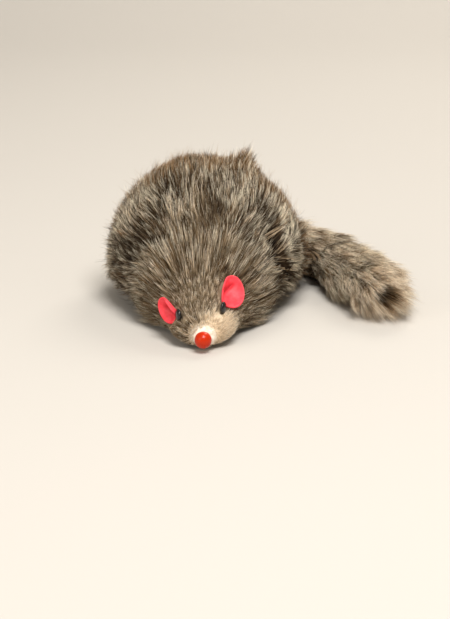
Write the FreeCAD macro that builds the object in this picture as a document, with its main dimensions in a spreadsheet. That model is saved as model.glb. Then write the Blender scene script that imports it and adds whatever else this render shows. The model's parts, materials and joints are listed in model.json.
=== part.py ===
"""Clockwork fur mouse: a spring-driven toy mouse with a fur pelt over a plastic shell.

Frame: millimetres, +Z up, -Y towards the nose, +X the mouse's left side. The origin is the centre of the
chassis' flat underside, which rides ground_gap above the floor on two driven wheels and a castor.
"""

import FreeCAD, Part
import math
import os
import re

import Sketcher

Vector = FreeCAD.Vector
Placement = FreeCAD.Placement
Rotation = FreeCAD.Rotation

TO_Z = Rotation(Vector(1, 0, 0), Vector(0, 0, 1))
SIDEWAYS = Rotation(Vector(1, 1, 1), 120)  # local X, Y, Z become world Y, Z, X
PLANE_SIZE = 200.0

doc = FreeCAD.newDocument("ClockworkMouse")
sheet = doc.addObject("Spreadsheet::Sheet", "Sizes")

SIZES = {
    # stance and shell
    "ground_gap": 3.0,
    "shell_wall": 1.5,
    "fit_gap": 0.15,
    "glue_gap": 0.2,
    "chassis_thickness": 2.0,
    "chassis_front": -33.0,
    "chassis_rear": 42.0,
    "snout_split": -36.0,
    # wheels
    "wheel_radius": 9.0,
    "rim_radius": 6.6,
    "wheel_width": 5.0,
    "wheel_offset": 14.0,
    "axle_radius": 1.25,
    "axle_rear": 25.0,
    "slot_half_length": 8.4,
    "slot_half_width": 3.0,
    # castor
    "castor_front": -20.0,
    "castor_radius": 4.5,
    "castor_half_width": 2.4,
    "castor_trail": 3.0,
    "castor_pin_radius": 0.75,
    "turret_radius": 9.6,
    "turret_bore": 8.7,
    "turret_ceiling": 8.6,
    "turret_top": 10.0,
    "kingpin_radius": 1.5,
    "kingpin_top": 12.0,
    "fork_disc_radius": 4.0,
    "fork_disc_thickness": 1.2,
    "cheek_thickness": 1.0,
    "cheek_gap": 0.3,
    # clockwork frame
    "plate_inner": 8.0,
    "plate_thickness": 0.8,
    "plate_foot": 2.05,
    "tab_reach": 4.0,
    "tab_half_length": 2.6,
    "pillar_radius": 1.5,
    "spigot_radius": 1.0,
    "rivet_head": 0.5,
    "running_gap": 0.05,
    # gear train
    "tooth_module": 0.5,
    "great_teeth": 48,
    "second_teeth": 36,
    "pinion_teeth": 12,
    "winder_rear": 7.5,
    "winder_height": 21.0,
    "arbor_radius": 1.5,
    "journal_radius": 1.2,
    "second_arbor_radius": 1.0,
    "great_near": 0.2,
    "great_far": 2.2,
    "second_near": 3.4,
    "second_far": 5.0,
    # ratchet and mainspring
    "ratchet_teeth": 12,
    "ratchet_radius": 5.0,
    "ratchet_root": 4.2,
    "ratchet_thickness": 1.0,
    "click_pivot_radius": 9.0,
    "click_stud_radius": 0.8,
    "click_eye_radius": 1.7,
    "spring_strip": 0.35,
    "spring_width": 5.7,
    "spring_radius": 9.6,
    "spring_coils": 8,
    # winding key
    "key_boss_near": 23.0,
    "key_boss_far": 25.4,
    "key_wing_far": 30.2,
    "key_half_span": 7.2,
    "key_boss_radius": 2.6,
    "key_wing_thickness": 1.8,
    "key_pocket_radius": 8.6,
    # screws
    "screw_radius": 0.95,
    "screw_head_radius": 2.0,
    "screw_head_height": 1.0,
    "recess_depth": 1.1,
    "post_radius": 2.7,
    "pilot_depth": 9.0,
    # face
    "nose_radius": 3.0,
    "nose_front": -48.65,
    "nose_height": 1.6,
    "eye_radius": 2.3,
    "eye_half_thickness": 1.0,
    "stem_radius": 0.6,
    "nose_stem_radius": 0.8,
    "face_fur": 1.5,
    "face_rear": -20.0,
    "ear_length": 6.4,
    "ear_width": 4.7,
    "ear_depth": 1.8,
    "ear_thickness": 0.7,
    # tail
    "tail_pivot": 47.0,
    "tongue_half_width": 4.0,
    "tab_thickness": 1.0,
    "tail_rivet_radius": 1.0,
    "tail_notch_radius": 19.0,
    "tail_notch_height": 15.5,
    "strip_half_width": 3.0,
    "strip_half_height": 0.6,
}


def fill_sheet():
    """One row per driving dimension: its value in column A with the alias, its name in column B."""
    for row, (alias, number) in enumerate(SIZES.items(), start=1):
        sheet.set(f"A{row}", str(number))
        sheet.set(f"B{row}", alias)
        sheet.setAlias(f"A{row}", alias)
    doc.recompute()


def formula(text):
    """A dimension formula with every lower-case word turned into its cell of the sheet."""
    return re.sub(r"[a-z]\w*", lambda word: "Sizes." + word.group(0), str(text))


def size(text):
    """The number a dimension formula comes to, in millimetres."""
    return float(sheet.evalExpression(formula(text)))


# ---------------------------------------------------------------- helpers for parametric pieces


def label_piece(piece, label, placement=None):
    piece.Label = label
    if placement is not None:
        piece.Placement = placement
    return piece


def bound(kind, name, **sizes):
    """A document object whose properties are bound to dimension formulas."""
    piece = doc.addObject(kind, name)
    for prop, text in sizes.items():
        piece.setExpression(prop, formula(text))
    return piece


def at(piece, x=0.0, y=0.0, z=0.0, rotation=None):
    """Puts a piece at formulas x, y, z."""
    piece.Placement = Placement(Vector(size(x), size(y), size(z)), rotation or Rotation())
    return piece


def box(name, low, high):
    """An axis-aligned box between two corners, each three formulas."""
    piece = bound(
        "Part::Box",
        name,
        Length=f"({high[0]}) - ({low[0]})",
        Width=f"({high[1]}) - ({low[1]})",
        Height=f"({high[2]}) - ({low[2]})",
    )
    return at(piece, *low)


def cylinder(name, radius, length, start, rotation=None):
    """A cylinder from start, along +Z unless rotation turns it."""
    piece = bound("Part::Cylinder", name, Radius=radius, Height=length)
    return at(piece, *start, rotation=rotation)


def fused(name, pieces):
    piece = doc.addObject("Part::MultiFuse", name)
    piece.Shapes = pieces
    return piece


def cut(name, base, tool):
    piece = doc.addObject("Part::Cut", name)
    piece.Base = base
    piece.Tool = tool
    return piece


def common(name, pieces):
    piece = doc.addObject("Part::MultiCommon", name)
    piece.Shapes = pieces
    return piece


def feature(name, shape, placement=None):
    """A Part::Feature for a free-form or toothed shape."""
    piece = doc.addObject("Part::Feature", name)
    piece.Shape = shape
    if placement is not None:
        piece.Placement = placement
    return piece


def pin_point(sketch, geometry, end, x, y):
    """Holds one sketch point at two formulas, measured from the sketch's origin."""
    for kind, text in (("DistanceX", x), ("DistanceY", y)):
        number = sketch.addConstraint(Sketcher.Constraint(kind, -1, 1, geometry, end, size(text)))
        sketch.setExpression(f"Constraints[{number}]", formula(text))


def new_sketch(body, name):
    sketch = body.newObject("Sketcher::SketchObject", name)
    plane = [o for o in body.Origin.OriginFeatures if o.Role == "XY_Plane"][0]
    sketch.AttachmentSupport = (plane, [""])
    sketch.MapMode = "FlatFace"
    return sketch


def draw_polygon(sketch, corners):
    """A closed outline whose corners are pairs of formulas."""
    points = [Vector(size(x), size(y), 0) for x, y in corners]
    count = len(points)
    first = sketch.GeometryCount
    for i in range(count):
        sketch.addGeometry(Part.LineSegment(points[i], points[(i + 1) % count]), False)
    for i in range(count):
        line, after = first + i, first + (i + 1) % count
        sketch.addConstraint(Sketcher.Constraint("Coincident", line, 2, after, 1))
        pin_point(sketch, line, 1, *corners[i])


def draw_circle(sketch, x, y, radius):
    centre = Vector(size(x), size(y), 0)
    number = sketch.addGeometry(Part.Circle(centre, Vector(0, 0, 1), size(radius)), False)
    constraint = sketch.addConstraint(Sketcher.Constraint("Radius", number, size(radius)))
    sketch.setExpression(f"Constraints[{constraint}]", formula(radius))
    pin_point(sketch, number, 3, x, y)


def padded(label, corners, holes, thickness, placement):
    """A PartDesign body: a polygon outline with round holes, padded by thickness."""
    body = doc.addObject("PartDesign::Body", label)
    sketch = new_sketch(body, label + "_outline")
    draw_polygon(sketch, corners)
    for hole in holes:
        draw_circle(sketch, *hole)
    pad = body.newObject("PartDesign::Pad", label + "_pad")
    pad.Profile = sketch
    pad.setExpression("Length", formula(thickness))
    body.Tip = pad
    return label_piece(body, label, placement)


def turned(label, profile, placement):
    """A PartDesign body turned about its own X axis from a profile of (along, radius) formulas."""
    body = doc.addObject("PartDesign::Body", label)
    sketch = new_sketch(body, label + "_profile")
    draw_polygon(sketch, profile)
    turn = body.newObject("PartDesign::Revolution", label + "_turn")
    turn.Profile = sketch
    turn.ReferenceAxis = (sketch, ["H_Axis"])
    turn.Angle = 360.0
    body.Tip = turn
    return label_piece(body, label, placement)


# ---------------------------------------------------------------- shell, chassis and pelt

# Stations of the hard shell from nose to rump: along Y, half width, height of the widest line, rise
# above it and depth below it.
SHELL_STATIONS = (
    (-45.6, 2.4, 2.2, 2.0, 2.0),
    (-44.4, 5.6, 2.5, 3.7, 2.9),
    (-41.5, 8.6, 3.0, 5.2, 3.4),
    (-36.0, 10.6, 4.2, 7.0, 4.6),
    (-28.0, 13.6, 6.2, 10.6, 9.5),
    (-18.0, 17.8, 8.5, 15.5, 16.0),
    (-8.0, 21.3, 9.0, 21.5, 19.0),
    (2.0, 23.5, 9.0, 27.5, 20.0),
    (13.0, 24.5, 9.0, 30.0, 20.0),
    (25.0, 24.0, 9.0, 29.0, 20.0),
    (35.0, 20.5, 9.0, 23.5, 20.0),
    (41.0, 14.0, 9.0, 14.5, 15.0),
    (43.5, 6.5, 9.0, 6.0, 7.0),
)
# The same for the outside of the long body fur.
FUR_STATIONS = (
    (-24.0, 18.5, 8.0, 15.0, 12.0),
    (-18.0, 24.0, 9.0, 22.0, 14.0),
    (-8.0, 31.0, 10.0, 30.5, 16.0),
    (4.0, 36.0, 11.0, 37.0, 17.0),
    (18.0, 38.0, 12.0, 39.5, 18.0),
    (32.0, 35.0, 12.0, 36.5, 18.0),
    (44.0, 26.5, 12.0, 28.5, 18.0),
    (53.0, 12.0, 12.0, 14.0, 14.0),
)


def oval(centre, right, up, half_width, rise, depth):
    """A closed wire of two half ellipses, rise above and depth below the line along right."""
    across = right.cross(up)
    halves = []
    for start, reach in ((0.0, rise), (math.pi, depth)):
        matrix = FreeCAD.Matrix(
            right.x * half_width, up.x * reach, across.x, centre.x,
            right.y * half_width, up.y * reach, across.y, centre.y,
            right.z * half_width, up.z * reach, across.z, centre.z,
            0, 0, 0, 1,
        )
        half = Part.ArcOfCircle(Part.Circle(), start, start + math.pi).toShape()
        halves.append(half.transformGeometry(matrix).Edges[0])
    return Part.Wire(halves)


def hull(stations, grow=0.0):
    """The solid lofted through stations, made larger all round by grow."""
    wires = []
    for number, (y, half_width, middle, rise, depth) in enumerate(stations):
        end = {0: -grow, len(stations) - 1: grow}.get(number, 0.0)
        centre = Vector(0, y + end, middle)
        wires.append(
            oval(centre, Vector(1, 0, 0), Vector(0, 0, 1), half_width + grow, rise + grow, depth + grow)
        )
    return Part.makeLoft(wires, True, False)


def station_point(y, angle, grow=0.0):
    """The point of the shell's skin at y, at an angle in degrees above +X, and its outward direction."""
    before = [s for s in SHELL_STATIONS if s[0] <= y][-1]
    after = [s for s in SHELL_STATIONS if s[0] > y][0]
    share = (y - before[0]) / (after[0] - before[0])
    half_width, middle, rise = [b + share * (a - b) for b, a in zip(before[1:4], after[1:4])]
    turn = math.radians(angle)
    point = Vector((half_width + grow) * math.cos(turn), y, middle + (rise + grow) * math.sin(turn))
    outward = Vector(rise * math.cos(turn), -0.35 * rise, half_width * math.sin(turn))
    return point, outward.normalize()


SHELL_POSTS = (("0", "37.3"), ("13.8", "0 - 9.6"), ("0 - 13.8", "0 - 9.6"))
TAB_REAR = ("0 - 4.6", "9")  # where along Y each plate's two foot tabs stand
TAB_ACROSS = "plate_inner + plate_thickness + 2.1"


def tab_holes():
    """Each motor screw's place as formulas (x, y)."""
    return [(f"{side} * ({TAB_ACROSS})", rear) for side in ("1", "0 - 1") for rear in TAB_REAR]


def build_chassis():
    """The plastic base: a tray with wheel slots, castor turret, screw recesses and the tail's tongue."""
    inside = feature("chassis_outline", hull(SHELL_STATIONS, -size("shell_wall + fit_gap")))
    slab = box(
        "chassis_slab",
        ("0 - 30", "chassis_front", "0"),
        ("30", "chassis_rear", "chassis_thickness"),
    )
    tongue = box(
        "chassis_tongue",
        ("0 - tongue_half_width", "chassis_rear - 4", "0"),
        ("tongue_half_width", "tail_pivot", "chassis_thickness"),
    )
    tongue_end = cylinder(
        "chassis_tongue_end", "tongue_half_width", "chassis_thickness", ("0", "tail_pivot", "0")
    )
    turret = cylinder("castor_turret", "turret_radius", "turret_top", ("0", "castor_front", "0"))
    solid = fused(
        "chassis_solid",
        [common("chassis_plate", [slab, inside]), tongue, tongue_end, turret],
    )
    tools = [
        cylinder("turret_bore", "turret_bore", "turret_ceiling + 1", ("0", "castor_front", "0 - 1")),
        cylinder(
            "kingpin_bore",
            "kingpin_radius + running_gap",
            "turret_top",
            ("0", "castor_front", "turret_ceiling - 1"),
        ),
        cylinder("tail_rivet_hole", "tail_rivet_radius", "6", ("0", "tail_pivot", "0 - 2")),
        cylinder("tail_rivet_recess", "1.9", "0.8 + 1", ("0", "tail_pivot", "0 - 1")),
    ]
    for side in ("1", "0 - 1"):
        middle = f"{side} * wheel_offset"
        tools.append(
            box(
                "wheel_slot",
                (f"{middle} - slot_half_width", "axle_rear - slot_half_length", "0 - 1"),
                (f"{middle} + slot_half_width", "axle_rear + slot_half_length", "chassis_thickness + 1"),
            )
        )
    for x, y in list(SHELL_POSTS) + tab_holes():
        tools.append(cylinder("screw_hole", "screw_radius + running_gap", "6", (x, y, "0 - 2")))
        tools.append(
            cylinder("screw_recess", "screw_head_radius + fit_gap", "recess_depth + 1", (x, y, "0 - 1"))
        )
    return label_piece(cut("chassis", solid, fused("chassis_cuts", tools)), "chassis")


def build_shell():
    """The moulded body and snout cover, open underneath, with three screw posts."""
    outside = hull(SHELL_STATIONS)
    inside = hull(SHELL_STATIONS, -size("shell_wall"))
    below = Part.makeBox(PLANE_SIZE, PLANE_SIZE, 40, Vector(-PLANE_SIZE / 2, size("snout_split"), -40))
    skin = outside.cut(inside).cut(below)
    for x, y in SHELL_POSTS:
        foot = Vector(size(x), size(y), size("chassis_thickness + 0.05"))
        post = Part.makeCylinder(size("post_radius"), 60, foot)
        pilot = Part.makeCylinder(size("screw_radius"), size("pilot_depth"), foot)
        skin = skin.fuse(post.common(outside)).cut(pilot)
    arbor = Vector(10, size("winder_rear"), size("winder_height"))
    arbor_hole = Part.makeCylinder(size("journal_radius + 0.8"), 40, arbor, Vector(1, 0, 0))
    tongue_gap = size("tongue_half_width + 0.3")
    tongue_slot = Part.makeBox(2 * tongue_gap, 12, 5, Vector(-tongue_gap, 37, -1))
    nose_bore = Part.makeCylinder(size("nose_stem_radius"), 12, nose_centre(), Vector(0, 1, 0))
    skin = skin.cut(arbor_hole).cut(tongue_slot).cut(nose_bore)
    for placement, outward in eye_placements():
        skin = skin.cut(Part.makeCylinder(size("stem_radius"), 8, placement.Base, outward * -1))
    return label_piece(feature("body_shell", skin.removeSplitter()), "body_shell")


def build_body_pelt():
    """The long body fur and its skin, as one shell around the plastic cover."""
    fur = hull(FUR_STATIONS).cut(hull(SHELL_STATIONS, size("glue_gap")))
    below = Part.makeBox(PLANE_SIZE, PLANE_SIZE, 40, Vector(-PLANE_SIZE / 2, -PLANE_SIZE / 2, -40))
    ahead = Part.makeBox(
        PLANE_SIZE, 100, 200, Vector(-PLANE_SIZE / 2, size("face_rear + glue_gap") - 100, -100)
    )
    arbor = Vector(10, size("winder_rear"), size("winder_height"))
    passage = Part.makeCylinder(size("journal_radius + 0.8"), 60, arbor, Vector(1, 0, 0))
    pocket_start = Vector(size("key_boss_near - 0.5"), arbor.y, arbor.z)
    pocket = Part.makeCylinder(size("key_pocket_radius"), 60, pocket_start, Vector(1, 0, 0))
    notch = Part.makeCylinder(
        size("tail_notch_radius"), size("tail_notch_height + 10"), Vector(0, size("tail_pivot"), -10)
    )
    fur = fur.cut(below).cut(ahead).cut(passage).cut(pocket).cut(notch)
    return label_piece(feature("body_pelt", largest(fur)), "body_pelt")


def build_face_pelt():
    """The short-haired face, glued over the snout."""
    face = hull(SHELL_STATIONS, size("face_fur")).cut(hull(SHELL_STATIONS, size("fit_gap")))
    behind = Part.makeBox(PLANE_SIZE, 200, 200, Vector(-PLANE_SIZE / 2, size("face_rear"), -100))
    below = Part.makeBox(PLANE_SIZE, 200, 40, Vector(-PLANE_SIZE / 2, size("snout_split"), -40))
    nose = Part.makeSphere(size("nose_radius + 0.05"), nose_centre())
    stem = Part.makeCylinder(size("nose_stem_radius + 0.05"), 8, nose_centre(), Vector(0, 1, 0))
    face = face.cut(behind).cut(below).cut(nose).cut(stem)
    for placement, outward in eye_placements():
        eye_stem = Part.makeCylinder(size("stem_radius + 0.05"), 8, placement.Base, outward * -1)
        face = face.cut(hollow_for(EYE_RADII, 0.05, placement)).cut(eye_stem)
    for placement, radii in ears():
        face = face.cut(hollow_for(radii, 0.1, placement))
    return label_piece(feature("face_pelt", largest(face)), "face_pelt")


def hollow_for(radii, gap, placement):
    """The room that an ellipsoid of those sizes takes up, larger all round by gap."""
    room = Part.makeSphere(1.0)
    stretch = FreeCAD.Matrix()
    stretch.scale(*(size(radius) + gap for radius in radii))
    room = room.transformGeometry(stretch)
    room.Placement = placement
    return room


def largest(shape):
    """The biggest solid of a shape, without slivers left by a cut."""
    return max(shape.Solids, key=lambda solid: solid.Volume)


# ---------------------------------------------------------------- face pieces

EYE_GAP = 0.1  # between the bead and the shell's skin
EYE_RADII = ("eye_half_thickness", "eye_radius", "eye_radius")
# Each eye's seat on the shell: its place along Y and its angle in degrees above +X.
EYES = {"left": (-38.5, 51.0), "right": (-39.75, 144.5)}
EAR_RADII = ("ear_width", "ear_length", "ear_depth")
# Each ear: its seat like the eyes', how far its middle stands off, its share of the full size, where
# its cup faces and where its long axis points.
EARS = {
    "left": (-31.5, 44.5, 3.6, 1.0, Vector(0.3, -0.72, 0.63), Vector(0.12, 0.66, 0.74)),
    "right": (-35.2, 160.5, 4.0, 0.8, Vector(-0.6, -0.79, 0.03), Vector(-0.53, 0.43, 0.76)),
}


def eye_placements():
    """Each flattened eye's placement, its thin axis local X, and the outward direction of its seat."""
    found = []
    for sign, (along, angle) in zip((1, -1), EYES.values()):
        seat, outward = station_point(along, angle)
        turn = Rotation(Vector(1, 0, 0), Vector(0.95 * sign, -0.3, 0))
        parts = turn.inverted().multVec(outward)
        reach = math.hypot(*(size(radius) * part for radius, part in zip(EYE_RADII, parts)))
        found.append((Placement(seat + outward * (reach + EYE_GAP), turn), outward))
    return found


def nose_centre():
    return Vector(0, size("nose_front"), size("nose_height"))


def ears():
    """Each ear's placement, local X across it, Y up it and Z out of its cup, and its radii."""
    found = []
    for along, angle, stand, share, facing, upward in EARS.values():
        seat, outward = station_point(along, angle)
        turn = Rotation(upward.cross(facing), upward, facing, "ZXY")
        radii = [f"{radius} * {share}" for radius in EAR_RADII]
        found.append((Placement(seat + outward * stand, turn), radii))
    return found


def ellipsoid(name, radii, placement):
    """An ellipsoid whose radii along the placement's X, Y and Z are formulas."""
    solid = bound("Part::Ellipsoid", name, Radius1=radii[2], Radius2=radii[0], Radius3=radii[1])
    solid.Angle1, solid.Angle2, solid.Angle3 = -90, 90, 360
    solid.Placement = placement
    return solid


def bead(label, ball, stem, length, inward):
    """A bead made of its ball and a stem that points inward from the ball's centre."""
    shank = bound("Part::Cylinder", label + "_stem", Radius=stem, Height=length)
    shank.Placement = Placement(ball.Placement.Base, Rotation(Vector(0, 0, 1), inward))
    return label_piece(fused(label, [ball, shank]), label)


def build_beads():
    """The round nose and the two flattened eyes, each on a stem pushed through the shell."""
    nose = bound("Part::Sphere", "nose_ball", Radius="nose_radius")
    nose.Placement = Placement(nose_centre(), Rotation())
    pieces = [bead("nose_bead", nose, "nose_stem_radius", "6.5", Vector(0, 1, 0))]
    for side, (placement, outward) in zip(("left", "right"), eye_placements()):
        ball = ellipsoid(side + "_eye_ball", EYE_RADII, placement)
        pieces.append(bead(side + "_eye", ball, "stem_radius", "5", outward * -1))
    return pieces


def build_ears():
    """Cupped soft vinyl ears, each an oval dish whose lower edge is glued into the face's pelt."""
    head = feature("ear_seat", hull(SHELL_STATIONS, size("glue_gap")))
    pieces = []
    for side, (placement, radii) in zip(("left", "right"), ears()):
        name = side + "_ear"
        outer = ellipsoid(name + "_outer", radii, placement)
        inner = ellipsoid(name + "_inner", [f"{radius} - ear_thickness" for radius in radii], placement)
        mouth = box(name + "_mouth", ("0 - 10", "0 - 10", "0"), ("10", "10", "10"))
        mouth.Placement = placement.multiply(mouth.Placement)
        dish = cut(name, outer, fused(name + "_hollow", [inner, mouth, head]))
        pieces.append(label_piece(dish, name))
    return pieces


# ---------------------------------------------------------------- clockwork frame

PILLARS = (("0 - 6", "6"), ("0 - 6.6", "23.2"), ("22", "29.4"), ("9", "5.2"))


def train_centres():
    """Where the winding arbor, the second arbor and the drive axle stand, in the (Y, Z) plane."""
    winder = Vector(size("winder_rear"), size("winder_height"), 0)
    axle = Vector(size("axle_rear"), size("wheel_radius - ground_gap"), 0)
    module = size("tooth_module")
    first = module * (size("great_teeth") + size("pinion_teeth")) / 2
    last = module * (size("second_teeth") + size("pinion_teeth")) / 2
    line = axle - winder
    along = (first**2 - last**2 + line.Length**2) / (2 * line.Length)
    aside = math.sqrt(first**2 - along**2)
    line.normalize()
    second = winder + line * along + Vector(-line.y, line.x, 0) * aside
    return winder, second, axle


def motor_placement(x, centre=Vector(0, 0, 0)):
    """Turns a flat piece to stand across the mouse, starting at formula x, with its centre at (Y, Z)."""
    return Placement(Vector(size(x), centre.x, centre.y), SIDEWAYS)


def build_motor_plates():
    """Two pressed plates with bearing holes, each with two foot tabs bent outward."""
    winder, second, axle = train_centres()
    corners = [
        ("0 - 9.3", "plate_foot"),
        ("28.2", "plate_foot"),
        ("28.2", "20"),
        ("25.2", "31"),
        ("20", "32.2"),
        ("0 - 5.6", "27.6"),
        ("0 - 9.2", "22.5"),
    ]
    holes = [
        (str(winder.x), str(winder.y), "journal_radius + running_gap"),
        (str(round(second.x, 6)), str(round(second.y, 6)), "second_arbor_radius + running_gap"),
        (str(axle.x), str(axle.y), "axle_radius + running_gap"),
    ]
    holes += [(y, z, "spigot_radius") for y, z in PILLARS]
    pieces = []
    outer_face = "plate_inner + plate_thickness"
    for side, start, tab_low in (
        ("left", "plate_inner", "plate_inner"),
        ("right", f"0 - ({outer_face})", f"plate_thickness - ({outer_face} + tab_reach)"),
    ):
        label = "motor_plate_" + side
        plate = padded(label + "_blank", corners, holes, "plate_thickness", motor_placement(start))
        parts, cuts = [plate], []
        for rear in TAB_REAR:
            tab = box(
                label + "_tab",
                (tab_low, f"{rear} - tab_half_length", "plate_foot"),
                (f"{tab_low} + tab_reach", f"{rear} + tab_half_length", "plate_foot + plate_thickness"),
            )
            parts.append(tab)
            across = TAB_ACROSS if side == "left" else f"0 - ({TAB_ACROSS})"
            cuts.append(cylinder(label + "_tab_hole", "screw_radius", "6", (across, rear, "0")))
        bent = fused(label + "_bent", parts)
        pieces.append(label_piece(cut(label, bent, fused(label + "_holes", cuts)), label))
    return pieces


def build_pillars():
    """Four riveted spacers that hold the motor plates apart."""
    pieces = []
    for number, (y, z) in enumerate(PILLARS):
        half, outer = "plate_inner", "plate_inner + plate_thickness"
        end = f"{outer} + rivet_head"
        profile = [
            (f"0 - ({end})", "0"),
            (end, "0"),
            (end, "pillar_radius - 0.1"),
            (outer, "pillar_radius - 0.1"),
            (outer, "spigot_radius"),
            (half, "spigot_radius"),
            (half, "pillar_radius"),
            (f"0 - {half}", "pillar_radius"),
            (f"0 - {half}", "spigot_radius"),
            (f"0 - ({outer})", "spigot_radius"),
            (f"0 - ({outer})", "pillar_radius - 0.1"),
            (f"0 - ({end})", "pillar_radius - 0.1"),
        ]
        place = Placement(Vector(0, size(y), size(z)), Rotation())
        pieces.append(turned(f"pillar_{number + 1}", profile, place))
    doc.recompute()
    return compound("motor_pillars", pieces)


def compound(label, pieces):
    """Identical pieces as one node of separate solids."""
    piece = doc.addObject("Part::Compound", label)
    piece.Links = pieces
    return label_piece(piece, label)


def screw(label, x, y, top):
    """A slotted screw driven from below, its head in the chassis' recess."""
    head_low = "recess_depth - screw_head_height"
    blank = turned(
        label + "_blank",
        [
            (head_low, "0"),
            (top, "0"),
            (top, "screw_radius - 0.5"),
            (f"{top} - 0.9", "screw_radius"),
            ("recess_depth", "screw_radius"),
            ("recess_depth", "screw_head_radius"),
            (f"{head_low} + 0.3", "screw_head_radius"),
            (head_low, "screw_head_radius - 0.4"),
        ],
        Placement(Vector(size(x), size(y), 0), TO_Z),
    )
    slot = box(
        label + "_slot",
        (f"{x} - 3", f"{y} - 0.25", "0 - 1"),
        (f"{x} + 3", f"{y} + 0.25", "recess_depth - 0.5"),
    )
    return cut(label, blank, slot)


def build_screws():
    """The screws up into the motor's foot tabs and the ones into the shell's posts."""
    sets = []
    for label, places, top in (
        ("motor_screws", tab_holes(), "plate_foot + plate_thickness + 0.9"),
        ("shell_screws", SHELL_POSTS, "8.5"),
    ):
        screws = [screw(f"{label}_{i + 1}", x, y, top) for i, (x, y) in enumerate(places)]
        doc.recompute()
        sets.append(compound(label, screws))
    return sets


# ---------------------------------------------------------------- gear train

PRESSURE = math.radians(25)
ADDENDUM = 0.82
DEDENDUM = 1.12
BACKLASH = 0.11


def polar(radius, angle):
    return Vector(radius * math.cos(angle), radius * math.sin(angle), 0)


def involute(angle):
    return math.tan(angle) - angle


def gear_outline(teeth, module, first_tooth):
    """A closed wire of involute teeth, each flank one arc, with a tooth centred on angle first_tooth."""
    pitch = module * teeth / 2
    tip, root, base = pitch + ADDENDUM * module, pitch - DEDENDUM * module, pitch * math.cos(PRESSURE)
    start = max(root, base)
    half = math.pi / (2 * teeth) - BACKLASH / (2 * pitch) + involute(PRESSURE)

    def flank(radius):
        return half - involute(math.acos(min(1.0, base / radius)))

    edges = []
    for number in range(teeth):
        middle = first_tooth + 2 * math.pi * number / teeth
        following = middle + 2 * math.pi / teeth
        rise = [polar(r, middle - flank(r)) for r in (start, (start + tip) / 2, tip)]
        fall = [polar(r, middle + flank(r)) for r in (tip, (start + tip) / 2, start)]
        if start > root:
            foot = polar(root, middle - flank(start))
            edges.append(Part.LineSegment(foot, rise[0]).toShape())
        edges.append(Part.Arc(*rise).toShape())
        edges.append(Part.Arc(rise[2], polar(tip, middle), fall[0]).toShape())
        edges.append(Part.Arc(*fall).toShape())
        low = polar(root, middle + flank(start))
        if start > root:
            edges.append(Part.LineSegment(fall[2], low).toShape())
        gap_end = polar(root, following - flank(start))
        edges.append(Part.Arc(low, polar(root, (middle + following) / 2), gap_end).toShape())
    return Part.Wire(edges)


def gear(label, teeth, first_tooth, near, far, bore, centre, windows=0):
    """A spur gear between formulas near and far, with a bore and perhaps a ring of lightening holes."""
    module = size("tooth_module")
    face = Part.Face(gear_outline(teeth, module, first_tooth))
    height = size(far) - size(near)
    solid = face.extrude(Vector(0, 0, height))
    solid = solid.cut(Part.makeCylinder(size(bore), height))
    ring = module * teeth / 2 * 0.64
    for number in range(windows):
        place = polar(ring, 2 * math.pi * (number + 0.5) / windows)
        solid = solid.cut(Part.makeCylinder(ring * 0.22, height, place))
    return label_piece(feature(label, solid, motor_placement(near, centre)), label)


def heading(start, end):
    """The angle of the line from start to end."""
    return math.atan2(end.y - start.y, end.x - start.x)


def build_train():
    winder, second, axle = train_centres()
    great, wheel, pinion = (int(size(n)) for n in ("great_teeth", "second_teeth", "pinion_teeth"))
    half_tooth = math.pi / pinion
    to_second, to_axle = heading(winder, second), heading(second, axle)
    loose_bore = "arbor_radius + running_gap"
    second_bore = "second_arbor_radius"
    pieces = [
        gear("great_wheel", great, to_second, "great_near", "great_far", loose_bore, winder),
        gear(
            "second_pinion",
            pinion,
            to_second + math.pi + half_tooth,
            "great_near - 0.3",
            "second_near",
            second_bore,
            second,
        ),
        gear("second_wheel", wheel, to_axle, "second_near", "second_far", second_bore, second, 5),
        gear(
            "axle_pinion",
            pinion,
            to_axle + math.pi + half_tooth,
            "second_near - 0.4",
            "second_far + 0.6",
            "axle_radius",
            axle,
        ),
    ]
    pieces.append(shaft("second_arbor", second_bore, "plate_inner + plate_thickness + 0.5", second))
    pieces.append(shaft("drive_axle", "axle_radius", "wheel_offset + wheel_width / 2 + 0.4", axle))
    return pieces


def shaft(label, radius, half_length, centre):
    """A plain steel shaft across the mouse with chamfered ends."""
    profile = [
        (f"0 - ({half_length})", "0"),
        (half_length, "0"),
        (half_length, f"{radius} - 0.25"),
        (f"{half_length} - 0.25", radius),
        (f"0 - ({half_length}) + 0.25", radius),
        (f"0 - ({half_length})", f"{radius} - 0.25"),
    ]
    return turned(label, profile, Placement(Vector(0, centre.x, centre.y), Rotation()))


def build_winder():
    """The winding arbor with its shoulders, the ratchet wheel and the key outside the shell."""
    winder = train_centres()[0]
    place = Placement(Vector(0, winder.x, winder.y), Rotation())
    shoulder = "plate_inner - 0.1"
    arbor = turned(
        "winding_arbor",
        [
            ("0 - plate_inner - plate_thickness - 0.8", "0"),
            ("key_boss_far + 2", "0"),
            ("key_boss_far + 2", "journal_radius"),
            (shoulder, "journal_radius"),
            (shoulder, "arbor_radius"),
            (f"0 - ({shoulder})", "arbor_radius"),
            (f"0 - ({shoulder})", "journal_radius"),
            ("0 - plate_inner - plate_thickness - 0.8", "journal_radius"),
        ],
        place,
    )
    return [arbor, build_ratchet(winder), build_key(winder)]


RATCHET_PHASE = math.radians(43.9)
CLICK_NOSE = 45.2  # degrees round the winding arbor from world Y


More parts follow.
